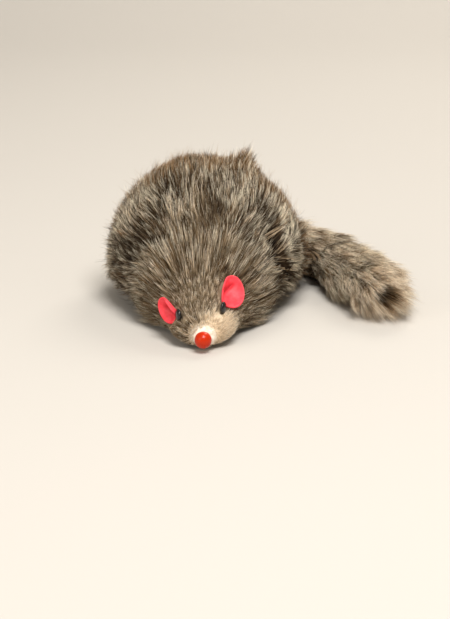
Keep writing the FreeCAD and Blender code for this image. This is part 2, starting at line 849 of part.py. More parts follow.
def build_ratchet(winder):
    """Saw teeth that ramp up anticlockwise seen from the key, so that the click slips when winding."""
    teeth = int(size("ratchet_teeth"))
    crest, root = size("ratchet_radius"), size("ratchet_root")
    points = []
    for number in range(teeth):
        angle = RATCHET_PHASE + 2 * math.pi * number / teeth
        points += [polar(crest, angle), polar(root, angle + 0.02)]
    face = Part.Face(Part.makePolygon(points + points[:1]))
    height = size("ratchet_thickness")
    solid = face.extrude(Vector(0, 0, height)).cut(Part.makeCylinder(size("arbor_radius"), height))
    place = motor_placement("0 - ratchet_thickness", winder)
    return label_piece(feature("ratchet_wheel", solid, place), "ratchet_wheel")


def build_key(winder):
    """A low thumb key: a round boss with two flat wings."""
    place = Placement(Vector(0, winder.x, winder.y), Rotation())
    boss = turned(
        "key_boss",
        [
            ("key_boss_near", "journal_radius"),
            ("key_boss_far + 2.01", "journal_radius"),
            ("key_boss_far + 2.01", "0"),
            ("key_wing_far - 1", "0"),
            ("key_wing_far", "key_boss_radius - 1.2"),
            ("key_wing_far - 0.8", "key_boss_radius - 0.2"),
            ("key_boss_near", "key_boss_radius"),
        ],
        place,
    )
    wings = padded(
        "key_wings",
        [
            ("0 - key_half_span + 2.2", "0"),
            ("key_half_span - 2.2", "0"),
            ("key_half_span", "1.8"),
            ("key_half_span", "key_wing_far - key_boss_far - 2.2"),
            ("key_half_span - 1.8", "key_wing_far - key_boss_far"),
            ("1.6", "key_wing_far - key_boss_far - 1.6"),
            ("0 - 1.6", "key_wing_far - key_boss_far - 1.6"),
            ("1.8 - key_half_span", "key_wing_far - key_boss_far"),
            ("0 - key_half_span", "key_wing_far - key_boss_far - 2.2"),
            ("0 - key_half_span", "1.8"),
        ],
        [],
        "key_wing_thickness",
        Placement(),
    )
    # local X along the world's Z, local Y along X, so the wings stand upright at rest
    turn = Rotation(Vector(1, 1, 1), -120)
    wings.Placement = Placement(
        Vector(size("key_boss_far"), winder.x - size("key_wing_thickness / 2"), winder.y), turn
    )
    bore = cylinder(
        "key_bore",
        "journal_radius",
        "key_boss_far + 2.01 - key_boss_near",
        ("key_boss_near", "winder_rear", "winder_height"),
        Rotation(Vector(0, 0, 1), Vector(1, 0, 0)),
    )
    return label_piece(cut("winding_key", fused("key_blank", [boss, wings]), bore), "winding_key")


def build_click():
    """The click on its stud, its nose resting on a ratchet crest, and the wire that presses it down."""
    winder = train_centres()[0]
    pivot = Vector(0, size("click_pivot_radius"), 0)
    height = size("ratchet_thickness")
    outline = [
        polar(size("ratchet_radius") + 0.08, math.radians(CLICK_NOSE)),
        polar(size("ratchet_radius") + 1.0, math.radians(CLICK_NOSE + 15.8)),
        pivot + Vector(-1.0, -1.3, 0),
        pivot + Vector(1.4, 0.8, 0),
        polar(size("ratchet_radius") + 1.6, math.radians(CLICK_NOSE + 1.3)),
    ]
    arm = Part.Face(Part.makePolygon(outline + outline[:1])).extrude(Vector(0, 0, height))
    eye = Part.makeCylinder(size("click_eye_radius"), height, pivot)
    bore = Part.makeCylinder(size("click_stud_radius + running_gap"), height, pivot)
    click = arm.fuse(eye).cut(bore).removeSplitter()
    place = motor_placement("0 - ratchet_thickness", winder)
    stud_length = size("great_near + ratchet_thickness + 0.1")
    stud = Part.makeCylinder(size("click_stud_radius"), stud_length, pivot + Vector(0, 0, -0.1))
    head = Part.makeCylinder(1.3, 0.4, pivot + Vector(0, 0, -0.5))
    return [
        label_piece(feature("click", click, place), "click"),
        label_piece(feature("click_stud", stud.fuse(head).removeSplitter(), place), "click_stud"),
        label_piece(feature("click_spring", click_wire(), place), "click_spring"),
    ]


def click_wire():
    """A bent wire from a peg on the great wheel to the back of the click."""
    wire_radius, peg_radius = 0.2, 0.45
    middle = size("ratchet_thickness") / 2
    points = [Vector(9.3, 1.4, middle), Vector(7.6, 5.0, middle), Vector(5.15, 5.5, middle)]
    path = Part.makePolygon(points)
    circle = Part.Circle(points[0], points[1] - points[0], wire_radius)
    wire = Part.Wire([path]).makePipeShell([Part.Wire(circle.toShape())], True, True, 1)
    peg = Part.makeCylinder(peg_radius, middle + size("great_near") + 0.3, points[0] - Vector(0, 0, 0.3))
    return wire.fuse(peg).removeSplitter()


def build_mainspring():
    """A coiled steel strip from the arbor out to the rear top pillar's neighbour, where it is hooked."""
    winder = train_centres()[0]
    post = Vector(size(PILLARS[1][0]), size(PILLARS[1][1]), 0) - winder
    post_angle = math.atan2(post.y, post.x)
    inner, outer = size("arbor_radius") + 0.25, size("spring_radius")
    turns, steps = size("spring_coils"), 14
    start = post_angle - 2 * math.pi * turns - math.radians(70)
    centre_line = []
    for i in range(int(turns * steps) + 1):
        share = i / (turns * steps)
        centre_line.append(polar(inner + (outer - inner) * share, start + 2 * math.pi * turns * share))
    reach = post.Length - size("pillar_radius + spring_strip / 2") - 0.08
    for share in (0.35, 0.7, 1.0):
        lift = share * share * (3 - 2 * share)
        angle = start + 2 * math.pi * turns + math.radians(70) * share
        centre_line.append(polar(outer + (reach - outer) * lift, angle))
    half = size("spring_strip") / 2
    sides = {1: [], -1: []}
    for i, point in enumerate(centre_line):
        ahead = centre_line[min(i + 1, len(centre_line) - 1)] - centre_line[max(i - 1, 0)]
        normal = Vector(-ahead.y, ahead.x, 0).normalize()
        for side, points in sides.items():
            points.append(point + normal * (half * side))
    edges = []
    for points in sides.values():
        curve = Part.BSplineCurve()
        curve.interpolate(points)
        edges.append(curve.toShape())
    for end in (0, -1):
        edges.append(Part.LineSegment(sides[1][end], sides[-1][end]).toShape())
    outline = Part.Wire(Part.__sortEdges__(edges))
    solid = Part.Face(outline).extrude(Vector(0, 0, size("spring_width")))
    place = motor_placement("0 - plate_inner + 0.4", winder)
    return label_piece(feature("mainspring", solid, place), "mainspring")


# ---------------------------------------------------------------- wheels and castor


def build_wheels():
    axle = train_centres()[2]
    pieces = []
    for side, sign in (("left", 1), ("right", -1)):
        turn = Rotation() if sign > 0 else Rotation(Vector(0, 0, 1), 180)
        place = Placement(Vector(0, axle.x, axle.y), turn)
        near, far = "wheel_offset - wheel_width / 2", "wheel_offset + wheel_width / 2"
        pieces.append(
            turned(
                side + "_hub",
                [
                    (f"{near} - 0.6", "axle_radius"),
                    (far, "axle_radius"),
                    (far, "axle_radius + 1.3"),
                    (f"{far} - 1.4", "axle_radius + 1.8"),
                    (f"{far} - 1.4", "rim_radius - 1.2"),
                    (f"{far} - 0.4", "rim_radius - 0.8"),
                    (f"{far} - 0.4", "rim_radius"),
                    (f"{near} + 0.4", "rim_radius"),
                    (f"{near} + 0.4", "rim_radius - 0.8"),
                    (f"{near} + 1.4", "rim_radius - 1.2"),
                    (f"{near} + 1.4", "axle_radius + 1.8"),
                    (f"{near} - 0.6", "axle_radius + 1.3"),
                ],
                place,
            )
        )
        pieces.append(
            turned(
                side + "_tyre",
                [
                    (near, "rim_radius"),
                    (far, "rim_radius"),
                    (far, "wheel_radius - 1"),
                    (f"{far} - 0.4", "wheel_radius - 0.3"),
                    (f"{far} - 1.1", "wheel_radius"),
                    (f"{near} + 1.1", "wheel_radius"),
                    (f"{near} + 0.4", "wheel_radius - 0.3"),
                    (near, "wheel_radius - 1"),
                ],
                place,
            )
        )
    return pieces


def build_castor():
    """The trailing front wheel: fork with kingpin, snap washer, wheel and its pin."""
    middle = "castor_front + castor_trail"
    height = "castor_radius - ground_gap"
    disc_low = "turret_ceiling - 0.1 - fork_disc_thickness"
    inner = "castor_half_width + cheek_gap"
    foot = ("0", "castor_front", disc_low)
    pieces = [
        cylinder("fork_disc", "fork_disc_radius", "fork_disc_thickness", foot),
        cylinder("kingpin", "kingpin_radius", f"kingpin_top - ({disc_low})", foot),
    ]
    for low in (inner, f"0 - ({inner}) - cheek_thickness"):
        pieces.append(
            box(
                "fork_cheek",
                (low, "castor_front - 1.6", f"{height} + 1"),
                (f"{low} + cheek_thickness", f"{middle} + 1.8", f"{disc_low} + 0.4"),
            )
        )
        pieces.append(
            box(
                "fork_foot",
                (low, f"{middle} - 1.8", f"{height} - 1.9"),
                (f"{low} + cheek_thickness", f"{middle} + 1.8", f"{height} + 1.1"),
            )
        )
    across = Rotation(Vector(0, 0, 1), Vector(1, 0, 0))
    hole = cylinder("fork_hole", "castor_pin_radius", "12", ("0 - 6", middle, height), across)
    fork = label_piece(cut("castor_fork", fused("fork_blank", pieces), hole), "castor_fork")
    at_wheel = Placement(Vector(0, size(middle), size(height)), Rotation())
    pin = label_piece(
        cylinder(
            "castor_pin",
            "castor_pin_radius",
            f"2 * ({inner} + cheek_thickness + 0.3)",
            (f"0 - ({inner}) - cheek_thickness - 0.3", middle, height),
            across,
        ),
        "castor_pin",
    )
    wheel = turned(
        "castor_wheel",
        [
            ("0 - castor_half_width", "castor_pin_radius + 0.07"),
            ("castor_half_width", "castor_pin_radius + 0.07"),
            ("castor_half_width", "castor_pin_radius + 0.9"),
            ("castor_half_width - 0.4", "castor_pin_radius + 1.1"),
            ("castor_half_width - 0.4", "castor_radius - 1.2"),
            ("castor_half_width - 0.1", "castor_radius - 0.9"),
            ("castor_half_width - 0.3", "castor_radius - 0.2"),
            ("castor_half_width - 0.8", "castor_radius"),
            ("0.8 - castor_half_width", "castor_radius"),
            ("0.3 - castor_half_width", "castor_radius - 0.2"),
            ("0.1 - castor_half_width", "castor_radius - 0.9"),
            ("0.4 - castor_half_width", "castor_radius - 1.2"),
            ("0.4 - castor_half_width", "castor_pin_radius + 1.1"),
            ("0 - castor_half_width", "castor_pin_radius + 0.9"),
        ],
        at_wheel,
    )
    washer = turned(
        "castor_washer",
        [
            ("turret_top + 0.1", "kingpin_radius"),
            ("turret_top + 0.7", "kingpin_radius"),
            ("turret_top + 0.7", "kingpin_radius + 1.4"),
            ("turret_top + 0.1", "kingpin_radius + 1.5"),
        ],
        Placement(Vector(0, size("castor_front"), 0), TO_Z),
    )
    return [fork, pin, wheel, washer]


# ---------------------------------------------------------------- tail

# The tail lies on the floor and curls round the mouse's left side: points of its middle line.
TAIL_LINE = (
    (0, 47, 2.6),
    (7.5, 57, 2.7),
    (21, 62, 5.0),
    (38, 55, 5.6),
    (50, 38, 5.6),
    (57, 18, 5.6),
    (69, -1, 5.6),
)
TAIL_HINGE = 4  # the point of TAIL_LINE where the tail's two halves bend
KNUCKLE_RADIUS = 11.9
# Half width and half height of the fur, along the tail from 0 at the rivet to 1 at the tip.
BASE_PROFILE = ((0.16, 5.0, 4.0), (0.27, 9.0, 7.0), (0.4, 11.0, 8.2), (0.55, 11.5, 8.4))
END_PROFILE = ((0.6, 11.5, 8.4), (0.75, 11.5, 8.4), (0.88, 9.5, 7.4), (0.96, 6.0, 5.0), (1.0, 2.5, 2.2))
BEND_LIMITS = (-15.0, 38.0)


def tail_curve():
    curve = Part.BSplineCurve()
    curve.interpolate([Vector(*point) for point in TAIL_LINE])
    return curve


def tail_loft(profile):
    """A solid along the tail through oval sections (share of length, half width, half height)."""
    curve = tail_curve()
    first, last = curve.FirstParameter, curve.LastParameter
    wires = []
    for share, half_width, half_height in profile:
        at_share = first + (last - first) * share
        tangent = curve.tangent(at_share)[0]
        right = tangent.cross(Vector(0, 0, 1)).normalize()
        up = right.cross(tangent).normalize()
        wires.append(oval(curve.value(at_share), right, up, half_width, half_height, half_height))
    return Part.makeLoft(wires, True, False)


def tail_hinge():
    return Vector(*TAIL_LINE[TAIL_HINGE])


def build_tail():
    """A leather strip in two hinged halves, the fur around each, and the tab that swivels on a rivet."""
    width, height = size("strip_half_width"), size("strip_half_height")
    hinge = tail_hinge()
    curve = tail_curve()
    middle = curve.parameter(hinge)
    length = curve.LastParameter - curve.FirstParameter
    split = (middle - curve.FirstParameter) / length
    base_profile = BASE_PROFILE + ((split + 0.02, 11.5, 8.4),)
    end_profile = ((split - 0.02, 11.5, 8.4),) + END_PROFILE
    base_stations = (0.16, 0.27, 0.4, split - 0.012)
    end_stations = (split + 0.012, 0.75, 0.85, 0.95)
    strip_base = tail_loft([(share, width, height) for share in base_stations])
    strip_end = tail_loft([(share, width, height) for share in end_stations])
    tunnel_base = tail_loft([(share, width + 0.1, height + 0.1) for share in base_stations])
    tunnel_end = tail_loft([(share, width + 0.1, height + 0.1) for share in end_stations])
    side = curve.tangent(middle)[0]
    side = Vector(side.x, side.y, 0).normalize()
    at_hinge = Placement(hinge, Rotation(Vector(1, 0, 0), side))
    knuckle = Part.makeCylinder(KNUCKLE_RADIUS, 40, hinge - Vector(0, 0, 20))
    socket = Part.makeCylinder(KNUCKLE_RADIUS + 0.4, 40, hinge - Vector(0, 0, 20))
    behind = Part.makeBox(60, 60, 60, Vector(-60, -30, -30))
    slot = Part.makeBox(62, 60, 2 * (height + 0.2), Vector(-60, -30, -height - 0.2))
    ahead = Part.makeBox(60, 60, 60, Vector(0, -30, -30))
    for block in (behind, slot, ahead):
        block.Placement = at_hinge.multiply(block.Placement)
    fur_end = tail_loft(end_profile).cut(behind.cut(knuckle)).cut(slot)
    fur_base = tail_loft(base_profile).cut(socket).cut(ahead)
    for angle in BEND_LIMITS:
        bent = tail_loft(((split + 0.06, 11.9, 8.8),) + END_PROFILE[1:3])
        bent.rotate(hinge, Vector(0, 0, 1), angle)
        fur_base = fur_base.cut(bent)
    fur_base = largest(fur_base).cut(tunnel_base)
    fur_end = largest(fur_end).cut(tunnel_end)
    pieces = [
        label_piece(feature("tail_strip_base", strip_base), "tail_strip_base"),
        label_piece(feature("tail_strip_end", strip_end), "tail_strip_end"),
        label_piece(feature("tail_fur_base", largest(fur_base)), "tail_fur_base"),
        label_piece(feature("tail_fur_end", largest(fur_end)), "tail_fur_end"),
    ]
    return pieces + [build_tail_tab(), build_tail_rivet()]


def build_tail_tab():
    """A leather eyelet that swivels on the rivet and leads to the tail's strip."""
    low = size("chassis_thickness + 0.1")
    curve = tail_curve()
    first, last = curve.FirstParameter, curve.LastParameter
    end = curve.value(first + (last - first) * 0.15)
    start = Vector(0, size("tail_pivot"), low)
    disc = Part.makeCylinder(3.4, size("tab_thickness"), start)
    heading_out = Vector(end.x - start.x, end.y - start.y, 0)
    strap = Part.makeBox(heading_out.Length, 5, size("tab_thickness"), Vector(0, -2.5, 0))
    strap.Placement = Placement(start, Rotation(Vector(1, 0, 0), heading_out)).multiply(strap.Placement)
    hole = Part.makeCylinder(size("tail_rivet_radius + running_gap"), 6, start - Vector(0, 0, 2))
    return label_piece(feature("tail_tab", disc.fuse(strap).cut(hole).removeSplitter()), "tail_tab")


def build_tail_rivet():
    top = "chassis_thickness + 0.1 + tab_thickness + 0.1"
    return turned(
        "tail_rivet",
        [
            ("0.1", "0"),
            (f"{top} + 0.5", "0"),
            (f"{top} + 0.5", "1.2"),
            (top, "1.8"),
            (top, "tail_rivet_radius"),
            ("0.8", "tail_rivet_radius"),
            ("0.8", "1.8"),
            ("0.1", "1.6"),
        ],
        Placement(Vector(0, size("tail_pivot"), 0), TO_Z),
    )


# ---------------------------------------------------------------- build, check and write


def build():
    fill_sheet()
    pieces = [build_chassis(), build_shell(), build_body_pelt(), build_face_pelt()]
    pieces += build_beads() + build_ears()
    pieces += build_motor_plates() + [build_pillars()] + build_screws()
    pieces += build_train() + build_winder() + build_click() + [build_mainspring()]
    pieces += build_wheels() + build_castor() + build_tail()
    doc.recompute()
    return pieces


def check(pieces):
    """Stops on any failed object or bad shape before anything is written."""
    failed = [o.Label for o in doc.Objects if "Invalid" in o.State or "Error" in o.State]
    if failed:
        raise RuntimeError(f"failed objects: {failed}")
    for piece in pieces:
        shape = piece.Shape
        if shape.isNull() or not shape.isValid() or not shape.Solids:
            raise RuntimeError(f"{piece.Label} has no valid solid")


def write(pieces):
    os.makedirs("parts", exist_ok=True)
    for piece in pieces:
        piece.Shape.exportStep(f"parts/{piece.Label}.step")


pieces = build()
check(pieces)
write(pieces)
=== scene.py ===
"""Clockwork fur mouse: fur, face and finishes over the CAD frame, in a pale studio.

Everything is in metres in the row's own frame: +Z up, the nose towards -Y, the mouse's left side at +X.
Fur is built as many fine tapered strands, gathered in tufts, over a soft undercoat.
"""

import json
import math

import bmesh
import bpy
import numpy as np
from mathutils import Matrix, Vector
from mathutils.bvhtree import BVHTree
from mathutils.kdtree import KDTree


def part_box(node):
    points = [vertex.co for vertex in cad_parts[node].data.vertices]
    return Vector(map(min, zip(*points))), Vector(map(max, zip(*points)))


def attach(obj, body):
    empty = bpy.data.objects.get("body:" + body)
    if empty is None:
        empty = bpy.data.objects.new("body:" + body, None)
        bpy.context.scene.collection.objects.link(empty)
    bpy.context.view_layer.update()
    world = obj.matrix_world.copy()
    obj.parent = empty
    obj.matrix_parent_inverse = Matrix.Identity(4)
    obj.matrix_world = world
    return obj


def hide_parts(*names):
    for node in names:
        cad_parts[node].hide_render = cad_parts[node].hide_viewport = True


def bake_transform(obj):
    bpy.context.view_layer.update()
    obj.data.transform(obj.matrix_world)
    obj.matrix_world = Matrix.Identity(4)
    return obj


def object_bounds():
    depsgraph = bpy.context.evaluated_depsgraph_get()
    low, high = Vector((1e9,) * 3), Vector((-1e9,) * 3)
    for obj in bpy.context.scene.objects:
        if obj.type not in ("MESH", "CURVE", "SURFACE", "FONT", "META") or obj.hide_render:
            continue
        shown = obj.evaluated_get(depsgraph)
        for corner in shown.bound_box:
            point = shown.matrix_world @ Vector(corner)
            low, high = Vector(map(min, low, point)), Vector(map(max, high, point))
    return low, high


MM = 0.001
FUR_SEED = 20
UV_NAME = "OFBake"
STRANDS_PER_PIECE = 8800
STRAND_SIDES = 3
FEWEST_TUFTS = 8

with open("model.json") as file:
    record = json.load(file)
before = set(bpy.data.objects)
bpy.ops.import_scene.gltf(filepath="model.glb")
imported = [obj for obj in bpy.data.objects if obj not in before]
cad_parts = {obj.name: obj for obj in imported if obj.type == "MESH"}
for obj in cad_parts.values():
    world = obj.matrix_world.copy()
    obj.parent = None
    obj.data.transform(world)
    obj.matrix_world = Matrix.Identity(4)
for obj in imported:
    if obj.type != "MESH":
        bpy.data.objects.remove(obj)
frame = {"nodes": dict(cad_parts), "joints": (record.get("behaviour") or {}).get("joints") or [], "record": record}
bounds_at_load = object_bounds()
nodes = frame["nodes"]
joints = {joint["name"]: joint for joint in frame["joints"]}
rng = np.random.default_rng(FUR_SEED)


# ---------------------------------------------------------------- small helpers


def unit(vectors):
    """Each row scaled to length one."""
    length = np.linalg.norm(vectors, axis=-1, keepdims=True)
    return vectors / np.maximum(length, 1e-9)


def facing(a, b):
    """How much each row of a points the way of the same row of b."""
    return np.sum(a * b, axis=1)


def along_surface(direction, normal):
    """The part of direction that lies in the surface, as unit vectors."""
    return unit(direction - normal * facing(direction, normal)[:, None])


def smooth_step(low, high, value):
    """0 at low and beyond, 1 at high and beyond, eased between them; low may be the larger number."""
    share = np.clip((value - low) / (high - low), 0.0, 1.0)
    return share * share * (3 - 2 * share)


def bell(*offsets):
    """1 where every offset is 0, falling to almost nothing where one of them passes 2."""
    return np.exp(-sum(offset**2 for offset in offsets))


def wander(points, wavelength, seed):
    """A smooth vector field over space, about one in size, made from a few crossing sine waves."""
    wave_count, usual_size = 5, 1.6
    waves = np.random.default_rng(seed)
    total = np.zeros_like(points)
    for _ in range(wave_count):
        direction = unit(waves.normal(size=3)) * 2 * math.pi / wavelength
        phase = waves.uniform(0, 2 * math.pi, size=3)
        total += np.sin(points @ direction[:, None] + phase) * unit(waves.normal(size=3))
    return total / usual_size


def ripple(points, wavelength, seed):
    """The same as one number per point, roughly -1 to 1."""
    return wander(points, wavelength, seed)[:, 0]


def colour(red, green, blue):
    """An 8-bit display colour as the linear values that shaders take."""
    values = [channel / 255 for channel in (red, green, blue)]
    linear = [v / 12.92 if v <= 0.04045 else ((v + 0.055) / 1.055) ** 2.4 for v in values]
    return (*linear, 1.0)


def new_object(name, data):
    """An object of the scene that holds data."""
    made = bpy.data.objects.new(name, data)
    bpy.context.scene.collection.objects.link(made)
    return made


def smooth_mesh(name, shape):
    """A bmesh made into a mesh with smooth faces. The bmesh is freed."""
    mesh = bpy.data.meshes.new(name)
    shape.to_mesh(mesh)
    shape.free()
    mesh.polygons.foreach_set("use_smooth", np.ones(len(mesh.polygons), bool))
    return mesh


def ride_body(slot, *pieces):
    """Lets pieces move with the mouse's body."""
    for piece in pieces:
        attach(piece, "mouse_body")


# ---------------------------------------------------------------- materials

BLACK, WHITE = (0, 0, 0, 1), (1, 1, 1, 1)
MATT_WOOL = {"Roughness": 0.95, "Specular_IOR_Level": 0.1}

# Each kind of hair, as the display colours of its root, its middle and its tip.
HAIR_KINDS = {
    "dark": ((26, 17, 9), (42, 30, 18), (62, 46, 30)),
    "brown": ((56, 43, 28), (114, 94, 70), (148, 127, 98)),
    "banded": ((32, 22, 12), (56, 41, 25), (255, 245, 220)),
    "tan": ((70, 47, 23), (104, 73, 39), (148, 109, 61)),
    "cream": ((206, 182, 150), (232, 208, 174), (254, 240, 218)),
}
KIND_STEP = 1 / (len(HAIR_KINDS) - 1)
# Streaks in the fur's chart: many across the kinds, a few from root to tip.
STREAK_SCALE = (400.0, 2.5, 1.0)


class Look:
    """Builds a material's node tree with one call per node."""

    def __init__(self, name):
        self.material = bpy.data.materials.new(name)
        self.material.use_nodes = True
        self.tree = self.material.node_tree
        self.shader = self.tree.nodes["Principled BSDF"]

    def add(self, kind, **settings):
        """A shader node of that kind with its settings."""
        node = self.tree.nodes.new("ShaderNode" + kind)
        for name, value in settings.items():
            setattr(node, name, value)
        return node

    def link(self, source, target):
        self.tree.links.new(source, target)

    def set(self, **inputs):
        """Fixed values for the shader's inputs, their names written with _ for a space."""
        for name, value in inputs.items():
            self.shader.inputs[name.replace("_", " ")].default_value = value

    def paint(self, source):
        self.link(source, self.shader.inputs["Base Color"])

    def ramp(self, source, stops):
        """A colour ramp over source with stops of (place, colour)."""
        node = self.add("ValToRGB")
        elements = node.color_ramp.elements
        while len(elements) < len(stops):
            elements.new(0.5)
        for element, (place, shade) in zip(elements, stops):
            element.position = place
            element.color = shade
        self.link(source, node.inputs["Fac"])
        return node.outputs["Color"]

    def mix(self, share, first, second, blend="MIX"):
        """Two colours mixed; each of the three inputs is an output of another node or a plain value."""
        node = self.add("MixRGB", blend_type=blend)
        for socket, value in zip(node.inputs, (share, first, second)):
            if hasattr(value, "is_output"):
                self.link(value, socket)
            else:
                socket.default_value = value
        return node.outputs["Color"]

    def noise(self, scale, detail, coordinates=None):
        """Cloudy noise from 0 to 1, over the object's own metres unless coordinates are given."""
        node = self.add("TexNoise")
        node.inputs["Scale"].default_value = scale
        node.inputs["Detail"].default_value = detail
        if coordinates is None:
            coordinates = self.add("TexCoord").outputs["Object"]
        self.link(coordinates, node.inputs["Vector"])
        return node.outputs["Fac"]

    def mottle(self, darker, lighter, scale, detail=3.0, spread=0.15):
        """Two shades in soft blotches; a smaller spread gives them harder edges."""
        return self.ramp(self.noise(scale, detail), [(0.5 - spread, darker), (0.5 + spread, lighter)])

    def bump(self, scale, detail, strength, distance):
        """A fine noisy grain in the surface."""
        node = self.add("Bump")
        node.inputs["Strength"].default_value = strength
        node.inputs["Distance"].default_value = distance
        self.link(self.noise(scale, detail), node.inputs["Height"])
        self.link(node.outputs["Normal"], self.shader.inputs["Normal"])

    def eased(self, source, start, end):
        """Source's share of the way from start to end, from 0 to 1."""
        node = self.add("MapRange")
        node.inputs["From Min"].default_value = start
        node.inputs["From Max"].default_value = end
        self.link(source, node.inputs["Value"])
        return node.outputs["Result"]


def fur_material():
    """Fur colour as a chart: across it the kind of hair, up it the place from root to tip."""
    look = Look("fur")
    chart = look.add("UVMap", uv_map=UV_NAME)
    split = look.add("SeparateXYZ")
    look.link(chart.outputs["UV"], split.inputs["Vector"])
    kind, place = split.outputs["X"], split.outputs["Y"]
    root, middle, tip = (
        look.ramp(kind, [(number * KIND_STEP, colour(*shade)) for number, shade in enumerate(shades)])
        for shades in zip(*HAIR_KINDS.values())
    )
    past_root = look.ramp(place, [(0.12, BLACK), (0.5, WHITE)])
    near_tip = look.ramp(place, [(0.48, BLACK), (0.74, WHITE)])
    blended = look.mix(near_tip, look.mix(past_root, root, middle), tip)
    stretch = look.add("Mapping")
    stretch.inputs["Scale"].default_value = STREAK_SCALE
    look.link(chart.outputs["UV"], stretch.inputs["Vector"])
    dim, bright = (0.72, 0.72, 0.72, 1), (1.25, 1.25, 1.25, 1)
    streaks = look.noise(scale=1.0, detail=1.0, coordinates=stretch.outputs["Vector"])
    streak = look.ramp(streaks, [(0.3, dim), (0.7, bright)])
    look.paint(look.mix(1.0, blended, streak, "MULTIPLY"))
    look.set(Roughness=0.6, Specular_IOR_Level=0.15)
    return look.material


def undercoat_material(name, dark, pale):
    """The matted wool under the guard hairs: dark, with paler tufts."""
    look = Look(name)
    look.paint(look.mottle(colour(*dark), colour(*pale), scale=160.0, detail=4.0))
    look.set(**MATT_WOOL)
    look.bump(scale=900.0, detail=3.0, strength=0.9, distance=0.4 * MM)
    return look.material


def face_skin_material(pale_spots):
    """Short face wool: grey, going to a pale shade round each spot, given as (middle, reach, shade)."""
    look = Look("face_wool")
    place = look.add("TexCoord").outputs["Object"]
    shade = look.mottle(colour(112, 97, 79), colour(142, 125, 103), scale=500.0)
    for middle, reach, pale in pale_spots:
        away = look.add("VectorMath", operation="DISTANCE")
        away.inputs[1].default_value = tuple(middle)
        look.link(place, away.inputs[0])
        shade = look.mix(look.eased(away.outputs["Value"], reach * 1.1, reach * 0.6), shade, colour(*pale))
    look.paint(shade)
    look.set(**MATT_WOOL)
    return look.material


def white_wool_material():
    """The short bright wool round the nose."""
    look = Look("white_wool")
    look.paint(look.mottle(colour(232, 218, 198), colour(255, 248, 236), scale=700.0))
    look.set(**MATT_WOOL)
    look.bump(scale=1600.0, detail=3.0, strength=0.6, distance=0.15 * MM)
    return look.material


def plain(name, shade, roughness, metallic=0.0, grain=0.0, **inputs):
    """A finish of one colour, slightly mottled, with an optional fine grain in the surface."""
    look = Look(name)
    darker = tuple(channel * 0.88 for channel in shade[:3]) + (1.0,)
    look.paint(look.mottle(darker, shade, scale=220.0))
    look.set(Roughness=roughness, Metallic=metallic, **inputs)
    if grain:
        look.bump(scale=1800.0, detail=2.0, strength=grain, distance=0.05 * MM)
    return look.material


def ear_material(name, fold):
    """Soft coral vinyl, with painted shade in deeper red along the fold as the fold's shadow; the fold runs
    between two points of the ear's own plane.
    """
    look = Look(name)
    mottled = look.mottle(colour(238, 54, 66), colour(252, 84, 96), scale=420.0, spread=0.2)
    start, end = (Vector((*point, 0)) for point in fold)
    heading = (end - start).normalized()
    aside = Vector((-heading.y, heading.x, 0))
    none, full = BLACK, (0.85, 0.85, 0.85, 1)

    def measured(axis, low, high, stops):
        """A ramp over the distance along axis, from low to high, measured from the fold's start."""
        along = look.add("VectorMath", operation="DOT_PRODUCT")
        along.inputs[1].default_value = axis
        look.link(look.add("TexCoord").outputs["Object"], along.inputs[0])
        offset = start.dot(axis)
        return look.ramp(look.eased(along.outputs["Value"], offset + low, offset + high), stops)

    reach = 1.5 * MM
    past_end = (end - start).length + 1 * MM
    across = measured(aside, -reach, reach, [(0.0, none), (0.42, full), (0.58, full), (1.0, none)])
    lengthwise = measured(heading, -reach, past_end, [(0.0, none), (0.4, full), (0.9, full), (1.0, none)])
    # crease is the mask of painted shade: the shadow in the ear's fold, painted in deeper red.
    crease = look.mix(1.0, across, lengthwise, "MULTIPLY")
    look.paint(look.mix(crease, mottled, colour(176, 16, 32)))
    look.set(Roughness=0.5, Specular_IOR_Level=0.3, Subsurface_Weight=0.12, Subsurface_Scale=0.6 * MM)
    look.shader.inputs["Subsurface Radius"].default_value = (1.0, 0.3, 0.25)
    look.bump(scale=1500.0, detail=2.0, strength=0.25, distance=0.06 * MM)
    return look.material


FINISHES = {
    "hard_black": plain("hard_black", colour(34, 34, 36), 0.45, grain=0.2),
    "shell_grey": plain("shell_grey", colour(96, 96, 100), 0.5, grain=0.2),
    "bead_black": plain("bead_black", colour(9, 8, 8), 0.2, Coat_Weight=0.3, Coat_Roughness=0.1),
    "bead_orange": plain(
        "bead_orange", colour(196, 44, 0), 0.3, Specular_IOR_Level=0.2, Coat_Weight=0.15, Coat_Roughness=0.1
    ),
    "steel": plain("steel", colour(206, 206, 210), 0.45, metallic=0.85, grain=0.3),
    "spring_steel": plain("spring_steel", colour(98, 104, 118), 0.25, metallic=1.0),
    "brass": plain("brass", colour(208, 166, 88), 0.28, metallic=1.0, grain=0.2),
    "wheel_plastic": plain("wheel_plastic", colour(226, 222, 210), 0.4, grain=0.15),
    "tyre_black": plain("tyre_black", colour(26, 26, 27), 0.8, grain=0.5),
    "leather_tan": plain("leather_tan", colour(98, 74, 54), 0.7, grain=0.6),
    "ear_coral": plain("ear_coral", colour(250, 80, 100), 0.5),
    "fur_agouti": fur_material(),
}


def finish_cad_nodes():
    """Gives every CAD node the finish of its material slot."""
    for entry in frame["record"]["subparts"]:
        node = nodes[entry["node"]]
        finish = FINISHES.get(entry["material_slot"], FINISHES["fur_agouti"])
        node.data.materials.clear()
        node.data.materials.append(finish)


# ---------------------------------------------------------------- surfaces to grow fur from


